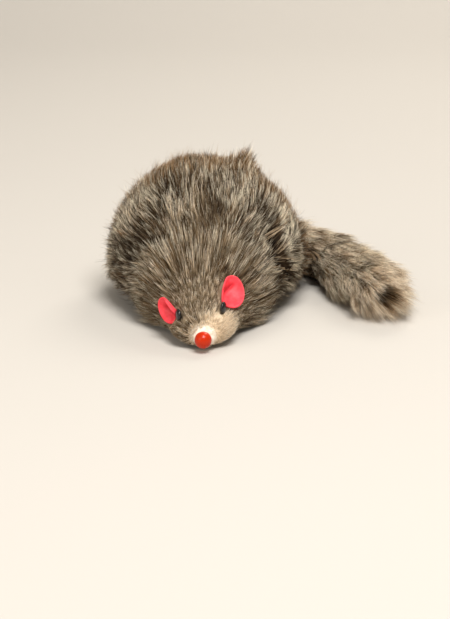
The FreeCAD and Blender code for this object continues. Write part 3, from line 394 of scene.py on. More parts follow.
class Surface:
    """The triangles of a CAD node, to pick points from and to measure distances to."""

    def __init__(self, name):
        mesh = nodes[name].data
        mesh.calc_loop_triangles()
        corners = np.array([v.co for v in mesh.vertices], float)
        index = np.zeros(len(mesh.loop_triangles) * 3, int)
        mesh.loop_triangles.foreach_get("vertices", index)
        self.corners = corners[index.reshape(-1, 3)]
        across = np.cross(
            self.corners[:, 1] - self.corners[:, 0], self.corners[:, 2] - self.corners[:, 0]
        )
        self.centre = self.corners.mean(axis=1)
        self.area = np.linalg.norm(across, axis=1) / 2
        self.normal = unit(across)
        self.tree = BVHTree.FromPolygons(corners.tolist(), index.reshape(-1, 3).tolist())

    def scatter(self, count, wanted, weight=None):
        """Random points and normals on the triangles where wanted is true, denser by weight(centres)."""
        chance = self.area * wanted
        if weight is not None:
            chance = chance * weight(self.centre)
        pick = rng.choice(len(chance), size=count, p=chance / chance.sum())
        a, b = rng.random((2, count, 1))
        folded = (a + b) > 1
        a, b = np.where(folded, 1 - a, a), np.where(folded, 1 - b, b)
        start, second, third = (self.corners[pick, i] for i in range(3))
        return start + a * (second - start) + b * (third - start), self.normal[pick]

    def distance(self, points):
        """How far each point is from the surface."""
        return np.array([self.tree.find_nearest(p)[3] for p in points.tolist()])


FLOOR_HEIGHT = bounds_at_load[0][2]
BODY_LOW, BODY_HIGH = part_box("body_pelt")
FACE_LOW, FACE_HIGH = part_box("face_pelt")
SPINE_FRONT, SPINE_REAR = BODY_LOW.y + 6 * MM, BODY_HIGH.y - 26 * MM
SPINE_HEIGHT = 11 * MM

NOSE_LOW, NOSE_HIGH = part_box("nose_bead")
NOSE_RADIUS = (NOSE_HIGH.z - NOSE_LOW.z) / 2
NOSE_CENTRE = np.array(
    [(NOSE_LOW.x + NOSE_HIGH.x) / 2, NOSE_LOW.y + NOSE_RADIUS, (NOSE_LOW.z + NOSE_HIGH.z) / 2]
)

WINDER = Vector(joints["winding"]["pos_m"])
KEY_LOW, KEY_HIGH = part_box("winding_key")
KEY_ROOM = (KEY_HIGH.z - KEY_LOW.z) / 2 + 0.8 * MM


def outward(points):
    """The direction away from a spine line along the middle of the body."""
    spine = np.zeros_like(points)
    spine[:, 1] = np.clip(points[:, 1], SPINE_FRONT, SPINE_REAR)
    spine[:, 2] = SPINE_HEIGHT
    return unit(points - spine)


EAR_HALF_WIDTH, EAR_HALF_LENGTH, EAR_DEPTH = 4.7 * MM, 6.4 * MM, 1.8 * MM


def ear_frame(side, facing_way, upward, share, shift):
    """An ear's middle, its turn, and its half width, half length and depth.

    The turn has X across the ear, Y up it and Z out of its cup.
    """
    low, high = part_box(side + "_ear")
    out = Vector(facing_way).normalized()
    across = Vector(upward).cross(out).normalized()
    turn = Matrix((across, out.cross(across), out)).transposed().to_4x4()
    middle = (low + high) / 2 + Vector((shift, 0, 0))
    return middle, turn, (EAR_HALF_WIDTH * share, EAR_HALF_LENGTH * share, EAR_DEPTH * share)


# Where each ear's fold starts and ends, across and up the ear.
EAR_FOLDS = {
    "left": ((0.2 * MM, 3.6 * MM), (-2.9 * MM, -0.6 * MM)),
    "right": ((0.0 * MM, 1.4 * MM), (2.3 * MM, -2.8 * MM)),
}
EAR_FRAMES = {
    "left": ear_frame("left", (0.3, -0.72, 0.63), (0.12, 0.66, 0.74), 1.0, -0.8 * MM),
    "right": ear_frame("right", (-0.6, -0.79, 0.03), (-0.53, 0.43, 0.76), 0.8, 0.9 * MM),
}


def from_winder(y, z):
    """How far y and z are from the key's axis."""
    return np.hypot(y - WINDER.y, z - WINDER.z)


def near_key(points):
    """True where fur would stand in the key's pocket."""
    x, y, z = points.T
    beside = (x > KEY_LOW.x - 4 * MM) & (x < KEY_HIGH.x + 1.0 * MM)
    return beside & (from_winder(y, z) < KEY_ROOM)


def beside_key(points):
    """The same points, those in the key's pocket moved straight out to its wall."""
    moved = points.copy()
    inside = near_key(points)
    axis = np.array([WINDER.y, WINDER.z])
    moved[inside, 1:] = axis + unit(points[inside, 1:] - axis) * (KEY_ROOM + 0.3 * MM)
    return moved


def over_key(points):
    """The same points, those in front of the key's wings raised clear of them."""
    moved = points.copy()
    moved[near_key(points), 0] = KEY_HIGH.x + 1.1 * MM
    return moved


# ---------------------------------------------------------------- strands


def tufts(roots, spacing, size):
    """Picks leaders of tufts of about size strands: each strand's leader and how closely it belongs."""
    count = max(FEWEST_TUFTS, len(roots) // size)
    leaders = rng.choice(len(roots), size=count, replace=False)
    tree = KDTree(count)
    for place, leader in enumerate(leaders):
        tree.insert(roots[leader], place)
    tree.balance()
    found = [tree.find(root) for root in roots.tolist()]
    leader = leaders[np.array([f[1] for f in found])]
    return leader, smooth_step(spacing * 1.6, spacing * 0.4, np.array([f[2] for f in found]))


def gather(tips, roots, spacing, pull, size=8):
    """Moves strand tips towards the tip of their tuft's leader: the new tips, and each strand's leader."""
    leader, belonging = tufts(roots, spacing, size)
    offset = roots - roots[leader]
    return tips + (tips[leader] + offset * 0.25 - tips) * belonging[:, None] * pull, leader


def scattered(tips, spread):
    """The same tips, each moved at random by about spread, in mm."""
    return tips + rng.normal(0, spread, tips.shape) * MM


def above_floor(tips, lowest, highest):
    """The same tips, those that would touch the floor raised off it by lowest to highest, in mm."""
    raised = tips.copy()
    raised[:, 2] = np.maximum(tips[:, 2], FLOOR_HEIGHT + rng.uniform(lowest, highest, len(tips)) * MM)
    return raised


def curves(roots, controls, tips, points):
    """Points along each strand's curve, as (strands, points, 3), slightly closer together at the tip."""
    t = np.linspace(0, 1, points)[None, :, None] ** 0.9
    a, b, c = (x[:, None, :] for x in (roots, controls, tips))
    return (1 - t) ** 2 * a + 2 * t * (1 - t) * b + t * t * c


def strand_faces(rings):
    """Corner numbers of one closed strand's faces: its four-sided ones, and the triangles at its ends."""
    quads = []
    for ring in range(rings - 1):
        low, high = ring * STRAND_SIDES, (ring + 1) * STRAND_SIDES
        for corner in range(STRAND_SIDES):
            after = (corner + 1) % STRAND_SIDES
            quads.append([low + corner, low + after, high + after, high + corner])
    last, tip = (rings - 1) * STRAND_SIDES, rings * STRAND_SIDES
    triangles = [[last + corner, last + (corner + 1) % STRAND_SIDES, tip] for corner in range(STRAND_SIDES)]
    triangles.append([2, 1, 0])
    return np.array(quads), np.array(triangles)


def strand_corners(lines, radius):
    """The corners of tapered strands along lines (strands, points, 3): rings of three, then the tip."""
    strands, points, _ = lines.shape
    rings = points - 1
    heading = unit(np.gradient(lines, axis=1))[:, :rings]
    side = unit(np.cross(heading, unit(rng.normal(size=(strands, 1, 3)))))
    other = np.cross(heading, side)
    thick = radius[:, None, None] * np.linspace(1.0, 0.35, rings)[None, :, None]
    ring_points = []
    for corner in range(STRAND_SIDES):
        turn = corner * 2 * math.pi / STRAND_SIDES
        ring_points.append(lines[:, :rings] + thick * (side * math.cos(turn) + other * math.sin(turn)))
    around = np.stack(ring_points, axis=2).reshape(strands, rings * STRAND_SIDES, 3)
    return np.concatenate([around, lines[:, -1:]], axis=1)


def strand_mesh(name, lines, radius, kinds):
    """One mesh of strands; each corner's UV holds its strand's kind of hair and its place along it."""
    corners = strand_corners(lines, radius)
    strands, per_strand, _ = corners.shape
    rings = lines.shape[1] - 1
    quads, triangles = strand_faces(rings)
    base = (np.arange(strands) * per_strand)[:, None, None]
    quad_loops = (quads[None] + base).reshape(-1)
    triangle_loops = (triangles[None] + base).reshape(-1)
    loops = np.concatenate([quad_loops, triangle_loops])
    totals = np.concatenate([np.full(len(quad_loops) // 4, 4), np.full(len(triangle_loops) // 3, 3)])
    starts = np.concatenate([[0], np.cumsum(totals)[:-1]])

    mesh = bpy.data.meshes.new(name)
    mesh.vertices.add(strands * per_strand)
    mesh.vertices.foreach_set("co", corners.reshape(-1).astype(np.float32))
    mesh.loops.add(len(loops))
    mesh.loops.foreach_set("vertex_index", loops.astype(np.int32))
    mesh.polygons.add(len(totals))
    mesh.polygons.foreach_set("loop_start", starts.astype(np.int32))
    mesh.polygons.foreach_set("loop_total", totals.astype(np.int32))
    mesh.polygons.foreach_set("use_smooth", np.ones(len(totals), bool))

    local, owner = loops % per_strand, loops // per_strand
    at_tip = local == per_strand - 1
    along = np.where(at_tip, 1.0, (local // STRAND_SIDES) / rings)
    spread = np.where(at_tip, 0.0, (local % STRAND_SIDES - 1) * 0.0015)
    uv = np.stack([np.clip(kinds[owner] + spread, 0.002, 0.998), 0.01 + 0.98 * along], axis=1)
    layer = mesh.uv_layers.new(name=UV_NAME)
    layer.data.foreach_set("uv", uv.reshape(-1).astype(np.float32))
    mesh.update(calc_edges=True)
    mesh.materials.append(FINISHES["fur_agouti"])
    return new_object(name, mesh)


def clear_of_ears(lines):
    """True for strands that don't pass through the cup of an ear, nor just behind or before it."""
    behind, before = -2.8 * MM, 6 * MM
    free = np.ones(len(lines), bool)
    for middle, turn, (half_width, half_length, _) in EAR_FRAMES.values():
        local = (lines - np.array(middle)) @ np.array(turn.to_3x3())
        inside = np.hypot(local[..., 0] / half_width, local[..., 1] / half_length) < 0.96
        inside &= (local[..., 2] > behind) & (local[..., 2] < before)
        free &= ~inside.any(axis=1)
    return free


def grow(name, roots, controls, tips, radius, kinds, points=5, order=None):
    """Strands as mesh pieces of a limited size, sorted by order, or from the right to the left."""
    lines = curves(roots, controls, tips, points)
    lines[..., 2] = np.maximum(lines[..., 2], FLOOR_HEIGHT + 0.15 * MM)
    order = roots[:, 0] if order is None else order
    free = clear_of_ears(lines)
    lines, radius, kinds, order = lines[free], radius[free], kinds[free], order[free]
    pieces = math.ceil(len(lines) / STRANDS_PER_PIECE)
    made = []
    for number, chosen in enumerate(np.array_split(np.argsort(order), pieces)):
        label = f"{name}_{number + 1}" if pieces > 1 else name
        made.append(strand_mesh(label, lines[chosen], radius[chosen], kinds[chosen]))
    return made


def kinds_from(leader, follow, **shares):
    """A kind of hair per strand from the shares of each; a share of them, follow, take their leader's."""
    shares = np.stack([shares[kind] for kind in HAIR_KINDS], axis=1)
    limits = np.cumsum(shares / shares.sum(axis=1, keepdims=True), axis=1)
    chosen = (rng.random((len(shares), 1)) > limits).sum(axis=1)
    kinds = np.clip(chosen * KIND_STEP + rng.normal(0, 0.035, len(shares)), 0.0, 1.0)
    follows = rng.random(len(kinds)) < follow
    return np.where(follows, np.clip(kinds[leader] + rng.normal(0, 0.03, len(kinds)), 0, 1), kinds)


# ---------------------------------------------------------------- the long body fur

COAT_DEPTH = 10.0 * MM
COAT_LEAN = 12.5 * MM
COAT_CURVE = 52 * MM
COAT_TUFT = 1.9 * MM
FACE_FOCUS = np.array([0.0, FACE_LOW.y + 8 * MM, 6 * MM])


def outer_skin(surface):
    """True for the triangles of a pelt that face out of the body."""
    return facing(surface.normal, outward(surface.centre)) > 0.45


def body_flow(points, normals):
    """Body fur lies back from the face, parts over the back and droops on the flanks."""
    away = unit(points - FACE_FOCUS)
    away[:, 1] += 0.35
    droop = smooth_step(30 * MM, 8 * MM, points[:, 2])
    away[:, 2] -= 0.45 * droop
    away += 0.30 * wander(points, 26 * MM, 3) + 0.22 * wander(points, 9 * MM, 4)
    return along_surface(away, normals)


def body_kinds(points, leader):
    """Grey-brown in the middle of the shoulders, a ring of cream-tipped hair round it, tan at the rear."""
    across, back, height = points.T
    above_middle = height - 30 * MM
    centre = bell(across / (13 * MM), above_middle / (22 * MM)) * smooth_step(14 * MM, -2 * MM, back)
    patch = 0.5 + 0.5 * ripple(points, 17 * MM, 5)
    rear = smooth_step(5 * MM, 20 * MM, back + 0.25 * above_middle)
    low = smooth_step(16 * MM, 4 * MM, height)
    ring = (1 - 0.8 * centre) * (1 - 0.85 * rear) * (1 - 0.7 * low)
    return kinds_from(
        leader,
        follow=0.7,
        dark=1.15 + 1.40 * low + 0.50 * (1 - patch),
        brown=0.18 + 1.6 * centre,
        banded=1.90 * ring * (0.50 + 0.9 * patch),
        tan=0.10 + 2.4 * rear,
        cream=0.05 + 0.85 * ring * patch,
    )


def longer_locks(points):
    """How much longer the coat is, up to 1.5, on a crest to the left of the back and on the left haunch."""
    x, y, z = points.T
    crest = 1.5 * bell((x - 14.5 * MM) / (3.2 * MM), (y - 22 * MM) / (8 * MM))
    crest = crest * smooth_step(30 * MM, 42 * MM, z)
    haunch = smooth_step(20 * MM, 34 * MM, x) * smooth_step(8 * MM, 22 * MM, y)
    haunch = haunch * smooth_step(32 * MM, 18 * MM, z)
    return np.maximum(crest, haunch)[:, None]


def body_fur(name, count, reach, thickness, looseness, points, tuft_size, pull):
    """A layer of the long coat that rides on the body.

    reach is how far out it stands, 1 for the full coat; looseness is the share of hairs that stand further;
    points is how many each strand's curve has; pull is how far a tuft's tips are drawn together.
    """
    pelt = Surface("body_pelt")
    clear_of_belly = pelt.centre[:, 2] > 0.4 * MM
    ends, normals = pelt.scatter(count, outer_skin(pelt) & clear_of_belly & ~near_key(pelt.centre))
    normals = unit(0.4 * normals + 0.6 * outward(ends))
    front = smooth_step(BODY_LOW.y + 16 * MM, BODY_LOW.y, ends[:, 1])[:, None]
    rear = smooth_step(24 * MM, 44 * MM, ends[:, 1])[:, None]
    depth = COAT_DEPTH * (1 - 0.5 * front)
    roots = ends - normals * depth
    flow = body_flow(ends, normals)
    lean = (COAT_LEAN - 3.0 * MM * front + 4.0 * MM * rear) * rng.uniform(0.75, 1.2, (count, 1))
    height = depth * reach * rng.uniform(0.90, 1.06, (count, 1))
    loose = rng.random((count, 1)) < looseness
    height = np.where(loose, height + rng.uniform(0.6, 3.2, (count, 1)) * MM, height)
    height += longer_locks(ends) * rng.uniform(2.5, 5.5, (count, 1)) * MM
    curl = lean**2 / (2 * COAT_CURVE)
    tips = roots + normals * (height - curl) + flow * lean
    tips[:, 2:] -= rear * 3 * MM
    tips, leader = gather(scattered(tips, 0.6), roots, COAT_TUFT, pull, tuft_size)
    tips = above_floor(scattered(tips, 0.25), 0.3, 1.2)
    controls = roots + normals * height * 0.92 + flow * lean * 0.25
    radius = rng.uniform(0.7, 1.3, count) * thickness
    kinds = body_kinds(ends, leader)
    pieces = grow(name, beside_key(roots), over_key(controls), over_key(tips), radius, kinds, points)
    ride_body("fur_agouti", *pieces)


def key_fur(count):
    """Hair that lies across the front and top of the key's pocket, so that the key hides in the coat."""
    pelt = Surface("body_pelt")
    x, y, z = pelt.centre.T
    around = from_winder(y, z)
    flank = (around > KEY_ROOM + 0.8 * MM) & (around < KEY_ROOM + 7 * MM)
    flank &= outer_skin(pelt) & (x > KEY_LOW.x + 4 * MM)

    # The pelt's side round the pocket, as x = fit . (1, y, z, yy, zz, yz), carries on across the pocket.
    def terms(y, z):
        return np.stack([np.ones_like(y), y, z, y * y, z * z, y * z], axis=1)

    fit = np.linalg.lstsq(terms(y[flank], z[flank]), x[flank], rcond=None)[0]
    slope_y = np.array([fit[1], 2 * fit[3], fit[5], 0, 0, 0])
    slope_z = np.array([fit[2], fit[5], 2 * fit[4], 0, 0, 0])

    radius = (KEY_ROOM + 5 * MM) * np.sqrt(rng.random(count))
    angle = rng.uniform(-math.pi, math.pi, count)
    y, z = WINDER.y + radius * np.cos(angle), WINDER.z + radius * np.sin(angle)
    rear_edge = WINDER.y - 0.5 * MM + 0.5 * (z - WINDER.z) + rng.normal(0, 1.2, count) * MM
    covered = y < rear_edge
    y, z = y[covered], z[covered]
    total = len(y)
    side = terms(y, z)
    ends = np.stack([side @ fit - 0.8 * MM, y, z], axis=1)
    normals = unit(np.stack([np.ones(total), -side @ slope_y, -side @ slope_z], axis=1))
    flow = body_flow(ends, normals)
    lean = rng.uniform(9, 14, (total, 1)) * MM
    roots = ends - flow * lean * 0.5 - normals * 3.6 * MM
    controls = ends - flow * lean * 0.1 + normals * 0.3 * MM
    tips = ends + flow * lean * 0.55 + normals * rng.uniform(-1.2, 0.8, (total, 1)) * MM
    tips, leader = gather(tips, roots, COAT_TUFT, pull=0.6)
    tips = scattered(tips, 0.25)
    thickness = rng.uniform(0.06, 0.12, total) * MM
    kinds = body_kinds(ends, leader)
    pieces = grow("key_fur", over_key(roots), over_key(controls), over_key(tips), thickness, kinds)
    ride_body("fur_agouti", *pieces)


# ---------------------------------------------------------------- undercoats


def shrunk_copy(name, sources, sink, voxel, material):
    """A remeshed copy of CAD solids whose skin is moved in by sink(points, normals), as an undercoat."""
    joined = bmesh.new()
    for source in sources:
        joined.from_mesh(nodes[source].data)
    obj = new_object(name, smooth_mesh(name, joined))
    remesh = obj.modifiers.new("even", "REMESH")
    remesh.mode = "VOXEL"
    remesh.voxel_size = voxel
    bpy.context.view_layer.update()
    even = bpy.data.meshes.new_from_object(obj.evaluated_get(bpy.context.evaluated_depsgraph_get()))
    obj.modifiers.clear()
    obj.data = even
    even.name = name
    points = np.zeros(len(even.vertices) * 3)
    normals = np.zeros(len(even.vertices) * 3)
    even.vertices.foreach_get("co", points)
    even.vertices.foreach_get("normal", normals)
    points, normals = points.reshape(-1, 3), normals.reshape(-1, 3)
    points = points - normals * sink(points, normals)[:, None]
    even.vertices.foreach_set("co", points.reshape(-1))
    even.polygons.foreach_set("use_smooth", np.ones(len(even.polygons), bool))
    even.materials.clear()
    even.materials.append(material)
    even.update()
    return obj


def body_undercoat():
    """Dark lumpy wool under the coat, as deep as the pelt allows over the shell."""
    shell = Surface("body_shell")

    def sink(points, normals):
        room = smooth_step(4 * MM, 7.5 * MM, shell.distance(points))
        outer = smooth_step(0.2, 0.6, facing(normals, outward(points)))
        lumps = 1 + 0.15 * ripple(points, 6 * MM, 8)
        return room * outer * (6.4 * MM) * lumps

    wool = undercoat_material("body_wool", (42, 32, 23), (76, 60, 43))
    obj = shrunk_copy("body_undercoat", ["body_pelt"], sink, 0.8 * MM, wool)
    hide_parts("body_pelt")
    ride_body("fur_agouti", obj)


# ---------------------------------------------------------------- the face

# The pale patch on the muzzle's left side.
BLAZE_MIDDLE = NOSE_CENTRE + np.array([6.8, 4.5, 1.2]) * MM
BLAZE_REACH = 8.5 * MM
EYES = [sum(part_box(name), Vector()) / 2 for name in ("left_eye", "right_eye")]
EYE_WINDOWS = [eye + Vector((0, -0.8, 0.3)) * MM for eye in EYES]


def near_any(points, centres, reach):
    """True for points closer than reach to any of the centres."""
    close = np.zeros(len(points), bool)
    for centre in centres:
        close |= np.linalg.norm(points - np.array(centre), axis=1) < reach
    return close


def face_skin(pelt):
    """True for the triangles of the face's pelt that face out, away from the edge that meets the body."""
    out = pelt.centre - np.array([0.0, 0.0, 4 * MM])
    out[:, 1] = 0
    out = unit(out)
    out[:, 1] = -0.35
    ahead = pelt.centre[:, 1] < FACE_LOW.y + 2.5 * MM
    faces_out = (facing(pelt.normal, out) > 0.35) | (ahead & (pelt.normal[:, 1] < -0.5))
    return faces_out & (pelt.centre[:, 1] < FACE_HIGH.y - 0.2 * MM)


def face_fur(count):
    """Short velvety hair on the snout, longer towards the nape, with a cream blaze and a pale nose ring."""
    pelt = Surface("face_pelt")
    ends, normals = pelt.scatter(
        count, face_skin(pelt), lambda centre: 1 + 1.2 * smooth_step(-24 * MM, -40 * MM, centre[:, 1])
    )
    away = ends - NOSE_CENTRE
    from_nose = np.linalg.norm(away, axis=1)
    away = unit(away)
    away[:, 1] += 0.5
    away += 0.25 * wander(ends, 12 * MM, 11)
    flow = along_surface(away, normals)
    nape = smooth_step(FACE_LOW.y + 14 * MM, FACE_HIGH.y, ends[:, 1])[:, None]
    blaze = smooth_step(BLAZE_REACH * 1.25, BLAZE_REACH * 0.6, np.linalg.norm(ends - BLAZE_MIDDLE, axis=1))
    ring = smooth_step(6.8 * MM, 5.2 * MM, from_nose)
    pale = np.maximum(blaze, ring)
    size = rng.uniform(0.8, 1.2, (count, 1))
    lean = (2.6 + 9.0 * nape + 0.6 * blaze[:, None] - 1.9 * ring[:, None]) * MM * size
    height = (0.7 + 5.5 * nape - 0.35 * pale[:, None]) * MM * size + 0.9 * MM
    roots = ends - normals * (0.9 + 1.2 * nape) * MM
    tips = roots + normals * height + flow * lean
    tips += rng.normal(0, 1, (count, 3)) * (0.15 + 0.4 * nape) * MM
    tips, leader = gather(tips, roots, 1.0 * MM, pull=0.45)
    controls = roots + normals * height * 0.9 + flow * lean * 0.3
    radius = (rng.uniform(0.045, 0.07, count) + 0.03 * nape[:, 0]) * MM

    long, grey = nape[:, 0], 1 - pale
    stripe = smooth_step(3.5 * MM, 1.0 * MM, np.abs(ends[:, 0] - 2.5 * MM)) * 0.6
    kinds = kinds_from(
        leader,
        follow=0.5,
        dark=0.04 * grey + 0.14 * long,
        brown=1.1 * grey,
        banded=(0.08 + 0.45 * long) * grey,
        tan=0.08 * grey,
        cream=0.26 + 2.4 * pale + 0.4 * stripe * (1 - long),
    )
    keep = ~near_any(tips, EYE_WINDOWS, 2.0 * MM) & ~near_any(roots, EYES, 1.7 * MM)
    beyond_bead = NOSE_RADIUS + rng.uniform(0.2, 1.5, count) * MM
    keep &= np.linalg.norm(tips - NOSE_CENTRE, axis=1) > beyond_bead
    keep &= tips[:, 1] > NOSE_CENTRE[1] + 1.0 * MM
    kept = (array[keep] for array in (roots, controls, tips, radius, kinds))
    ride_body("fur_face", *grow("face_fur", *kept, points=4, order=ends[keep, 1]))


def face_undercoat():
    """The close wool of the face, just under its short hair, with the pale blaze and nose ring."""

    def sink(points, normals):
        middle = np.zeros_like(points)
        middle[:, 1] = points[:, 1] + 3 * MM
        middle[:, 2] = 4 * MM
        faces_out = facing(normals, unit(points - middle))
        return (0.55 * smooth_step(0.2, 0.6, faces_out) - 0.2) * MM

    blaze = (BLAZE_MIDDLE, BLAZE_REACH, (236, 214, 184))
    ring = (NOSE_CENTRE, 5.8 * MM, (255, 250, 240))
    obj = shrunk_copy("face_undercoat", ["face_pelt"], sink, 0.45 * MM, face_skin_material([blaze, ring]))
    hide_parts("face_pelt")
    ride_body("fur_face", obj)


def nose_pad():
    """The ring of short white wool behind the nose bead, as one rounded cushion."""
    half_size = Vector((4.1, 2.7, 3.9)) * MM
    middle = Vector(NOSE_CENTRE + np.array([0.5, 3.1, 0.6]) * MM)
    shape = bmesh.new()
    bmesh.ops.create_uvsphere(shape, u_segments=40, v_segments=24, radius=1.0)
    for vertex in shape.verts:
        x, y, z = vertex.co
        lump = 1 + 0.03 * math.sin(9 * x + 4 * z) * math.cos(8 * z - 5 * x)
        vertex.co = middle + vertex.co * half_size * lump
    mesh = smooth_mesh("nose_pad", shape)
    mesh.materials.append(white_wool_material())
    ride_body("fur_face", new_object("nose_pad", mesh))


# ---------------------------------------------------------------- ears


def fold_distance(fold, point):
    """How far a point of the ear's plane is from the fold's line, between its two ends."""
    start, end = fold
    step = end - start
    share = min(1.0, max(0.0, (point - start).dot(step) / step.length_squared))
    return (point - start - step * share).length


def ear(side, sign):
    """A cupped oval ear with a fold at its inner edge, centred on the CAD ear."""
    rings, spokes = 14, 40
    crease_width, crease_depth, curl_height = 0.75 * MM, 0.8 * MM, 1.3 * MM
    middle, turned, (half_width, half_length, depth) = EAR_FRAMES[side]
    fold = [Vector(point) for point in EAR_FOLDS[side]]
    shape = bmesh.new()
    grid = []
    for ring in range(rings + 1):
        radius = ring / rings
        row = []
        for spoke in range(spokes if ring else 1):
            turn = 2 * math.pi * spoke / spokes
            a, b = radius * math.cos(turn), radius * math.sin(turn)
            width = half_width * (1 - 0.12 * b)
            away = fold_distance(fold, Vector((a * width, b * half_length)))
            crease = bell(away / crease_width) * crease_depth * (1 - 0.6 * radius**4)
            rim = 0.18 * radius**6
            cup = depth * (0.9 * radius**2 - 1 + rim)
            curl = smooth_step(0.5, 1.0, -sign * a) * curl_height
            x = a * width + sign * curl * 0.75
            z = cup - crease + curl * 0.9
            row.append(shape.verts.new((x, b * half_length, z)))
        grid.append(row)
    for spoke in range(spokes):
        after = (spoke + 1) % spokes
        shape.faces.new((grid[0][0], grid[1][spoke], grid[1][after]))
        for inner, outer in zip(grid[1:], grid[2:]):
            shape.faces.new((inner[spoke], outer[spoke], outer[after], inner[after]))
    mesh = smooth_mesh(side + "_ear_skin", shape)
    mesh.materials.append(ear_material(side + "_ear_vinyl", EAR_FOLDS[side]))
    obj = new_object(side + "_ear_skin", mesh)
    obj.matrix_world = Matrix.Translation(middle) @ turned
    thick = obj.modifiers.new("thickness", "SOLIDIFY")
    thick.thickness = 0.65 * MM
    thick.offset = 0
    soft = obj.modifiers.new("soft", "SUBSURF")
    soft.levels = soft.render_levels = 1
    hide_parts(side + "_ear")
    ride_body("ear_coral", obj)


# ---------------------------------------------------------------- the tail

TAIL_START = Vector(joints["tail_lift"]["pos_m"])
TAIL_BEND = Vector(joints["tail_bend"]["pos_m"])
TAIL_SOLIDS = ("tail_fur_base", "tail_fur_end")


def tail_path():
    """Points down the middle of the tail, from where it leaves the eyelet to its tip, as (points, 3)."""
    slices, past_tip = 16, 5 * MM
    strips = (nodes[name].data.vertices for name in ("tail_strip_base", "tail_strip_end"))
    strip = np.array([v.co for vertices in strips for v in vertices], float)
    start, bend = np.array(TAIL_START), np.array(TAIL_BEND)
    tip = strip[np.argmin(strip[:, 1] - 0.2 * strip[:, 0])]
    centre = np.array([start[0] + 5 * MM, bend[1] - 12 * MM])
    angles = np.arctan2(strip[:, 1] - centre[1], strip[:, 0] - centre[0])
    first, last = (math.atan2(p[1] - centre[1], p[0] - centre[0]) for p in (start, tip))
    knots = [start]
    for number in range(1, slices):
        near = first + (last - first) * (number - 0.5) / slices
        far = first + (last - first) * (number + 0.5) / slices
        slice_points = strip[(angles <= near) & (angles >= far)]
        if len(slice_points):
            knots.append(slice_points.mean(axis=0))
    knots.append(tip)
    knots.append(tip + unit(knots[-1] - knots[-3]) * past_tip)
    return np.array(knots)


TAIL_PATH = tail_path()


def on_tail(points):
    """Each point's share of the way along the tail, and the nearest point of the tail's middle."""
    starts, steps = TAIL_PATH[:-1], TAIL_PATH[1:] - TAIL_PATH[:-1]
    lengths = np.linalg.norm(steps, axis=1)
    before = np.concatenate([[0], np.cumsum(lengths)[:-1]])
    best = np.full(len(points), np.inf)
    share = np.zeros(len(points))
    nearest = np.zeros_like(points)
    for start, step, length, run in zip(starts, steps, lengths, before):
        t = np.clip((points - start) @ step / length**2, 0, 1)
        candidate = start + t[:, None] * step
        gap = np.linalg.norm(points - candidate, axis=1)
        closer = gap < best
        best = np.where(closer, gap, best)
        share = np.where(closer, (run + t * length) / lengths.sum(), share)
        nearest = np.where(closer[:, None], candidate, nearest)
    return share, nearest


def tail_heading(share):
    """The way the tail runs at each share of its length, turning evenly from one stretch to the next."""
    steps = TAIL_PATH[1:] - TAIL_PATH[:-1]
    lengths = np.linalg.norm(steps, axis=1)
    middles = (np.cumsum(lengths) - lengths / 2) / lengths.sum()
    directions = unit(steps)
    return unit(np.stack([np.interp(share, middles, directions[:, axis]) for axis in range(3)], axis=1))


def bend_over(pieces):
    """Bakes each tail piece's placement into its mesh."""
    for piece in pieces:
        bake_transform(piece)


def tail_ends(count):
    """Points on the outer skin of the tail, a few more of them on its free half."""
    ends = []
    for name, part in zip(TAIL_SOLIDS, (0.45, 0.55)):
        surface = Surface(name)
        _, nearest = on_tail(surface.centre)
        outer = facing(surface.normal, unit(surface.centre - nearest)) > 0.7
        ends.append(surface.scatter(int(count * part), outer)[0])
    return np.concatenate(ends)


def tail_fur(count):
    """Long soft hair that streams along the tail to a pale tip, following the tail's curve."""
    ends = tail_ends(count)
    total = len(ends)
    place, core = on_tail(ends)
    depth = np.linalg.norm(ends - core, axis=1)
    even_depth = np.polyval(np.polyfit(place, depth, 4), place)
    depth = (0.35 * depth + 0.65 * even_depth)[:, None]
    normals = unit(ends - core)
    roots = core + normals * depth * rng.uniform(0.12, 0.5, (total, 1))
    flow = unit(tail_heading(place) + 0.14 * wander(ends, 22 * MM, 21) + 0.10 * wander(ends, 7 * MM, 22))
    size = rng.uniform(0.7, 1.3, (total, 1))
    over_eyelet = (rng.random(total) < 0.5 * smooth_step(0.10, 0.04, place))[:, None]
    lean = np.where(over_eyelet, -9 * MM, (13 + 6 * place[:, None]) * MM) * size
    bush = 0.95 + 0.30 * smooth_step(0.3, 0.9, place)[:, None]
    tips = core + normals * depth * bush * rng.uniform(0.85, 1.12, (total, 1)) + flow * lean
    tips, leader = gather(scattered(tips, 0.7), roots, 2.4 * MM, pull=0.62)
    tips = above_floor(scattered(tips, 0.3), 0.15, 1.2)
    controls = roots + normals * depth * 0.75 + flow * lean * 0.25
    radius = rng.uniform(0.06, 0.10, total) * MM
    tip_zone = smooth_step(0.72, 0.92, place)
    kinds = kinds_from(
        leader,
        follow=0.7,
        dark=np.zeros(total),
        brown=0.40 * (1 - 0.7 * tip_zone),
        banded=0.85 * (1 - 0.9 * tip_zone),
        tan=0.40 * (1 - 0.5 * tip_zone),
        cream=0.70 + 0.5 * tip_zone,
    )
    bend_over(grow("tail_fur", roots, controls, tips, radius, kinds, order=place))


def tail_undercoat():
    """Soft lumpy wool inside the tail's hair."""

    def sink(points, normals):
        _, core = on_tail(points)
        return np.linalg.norm(points - core, axis=1) * 0.42 * (1 + 0.12 * ripple(points, 5 * MM, 31))

    wool = undercoat_material("tail_wool", (108, 92, 72), (150, 128, 102))
    obj = shrunk_copy("tail_undercoat", TAIL_SOLIDS, sink, 0.8 * MM, wool)
    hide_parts(*TAIL_SOLIDS)
    bend_over([obj])


# ---------------------------------------------------------------- the studio


BODY_MIDDLE, HAUNCHES = Vector((0, 0, 20)) * MM, Vector((0, 30, 30)) * MM
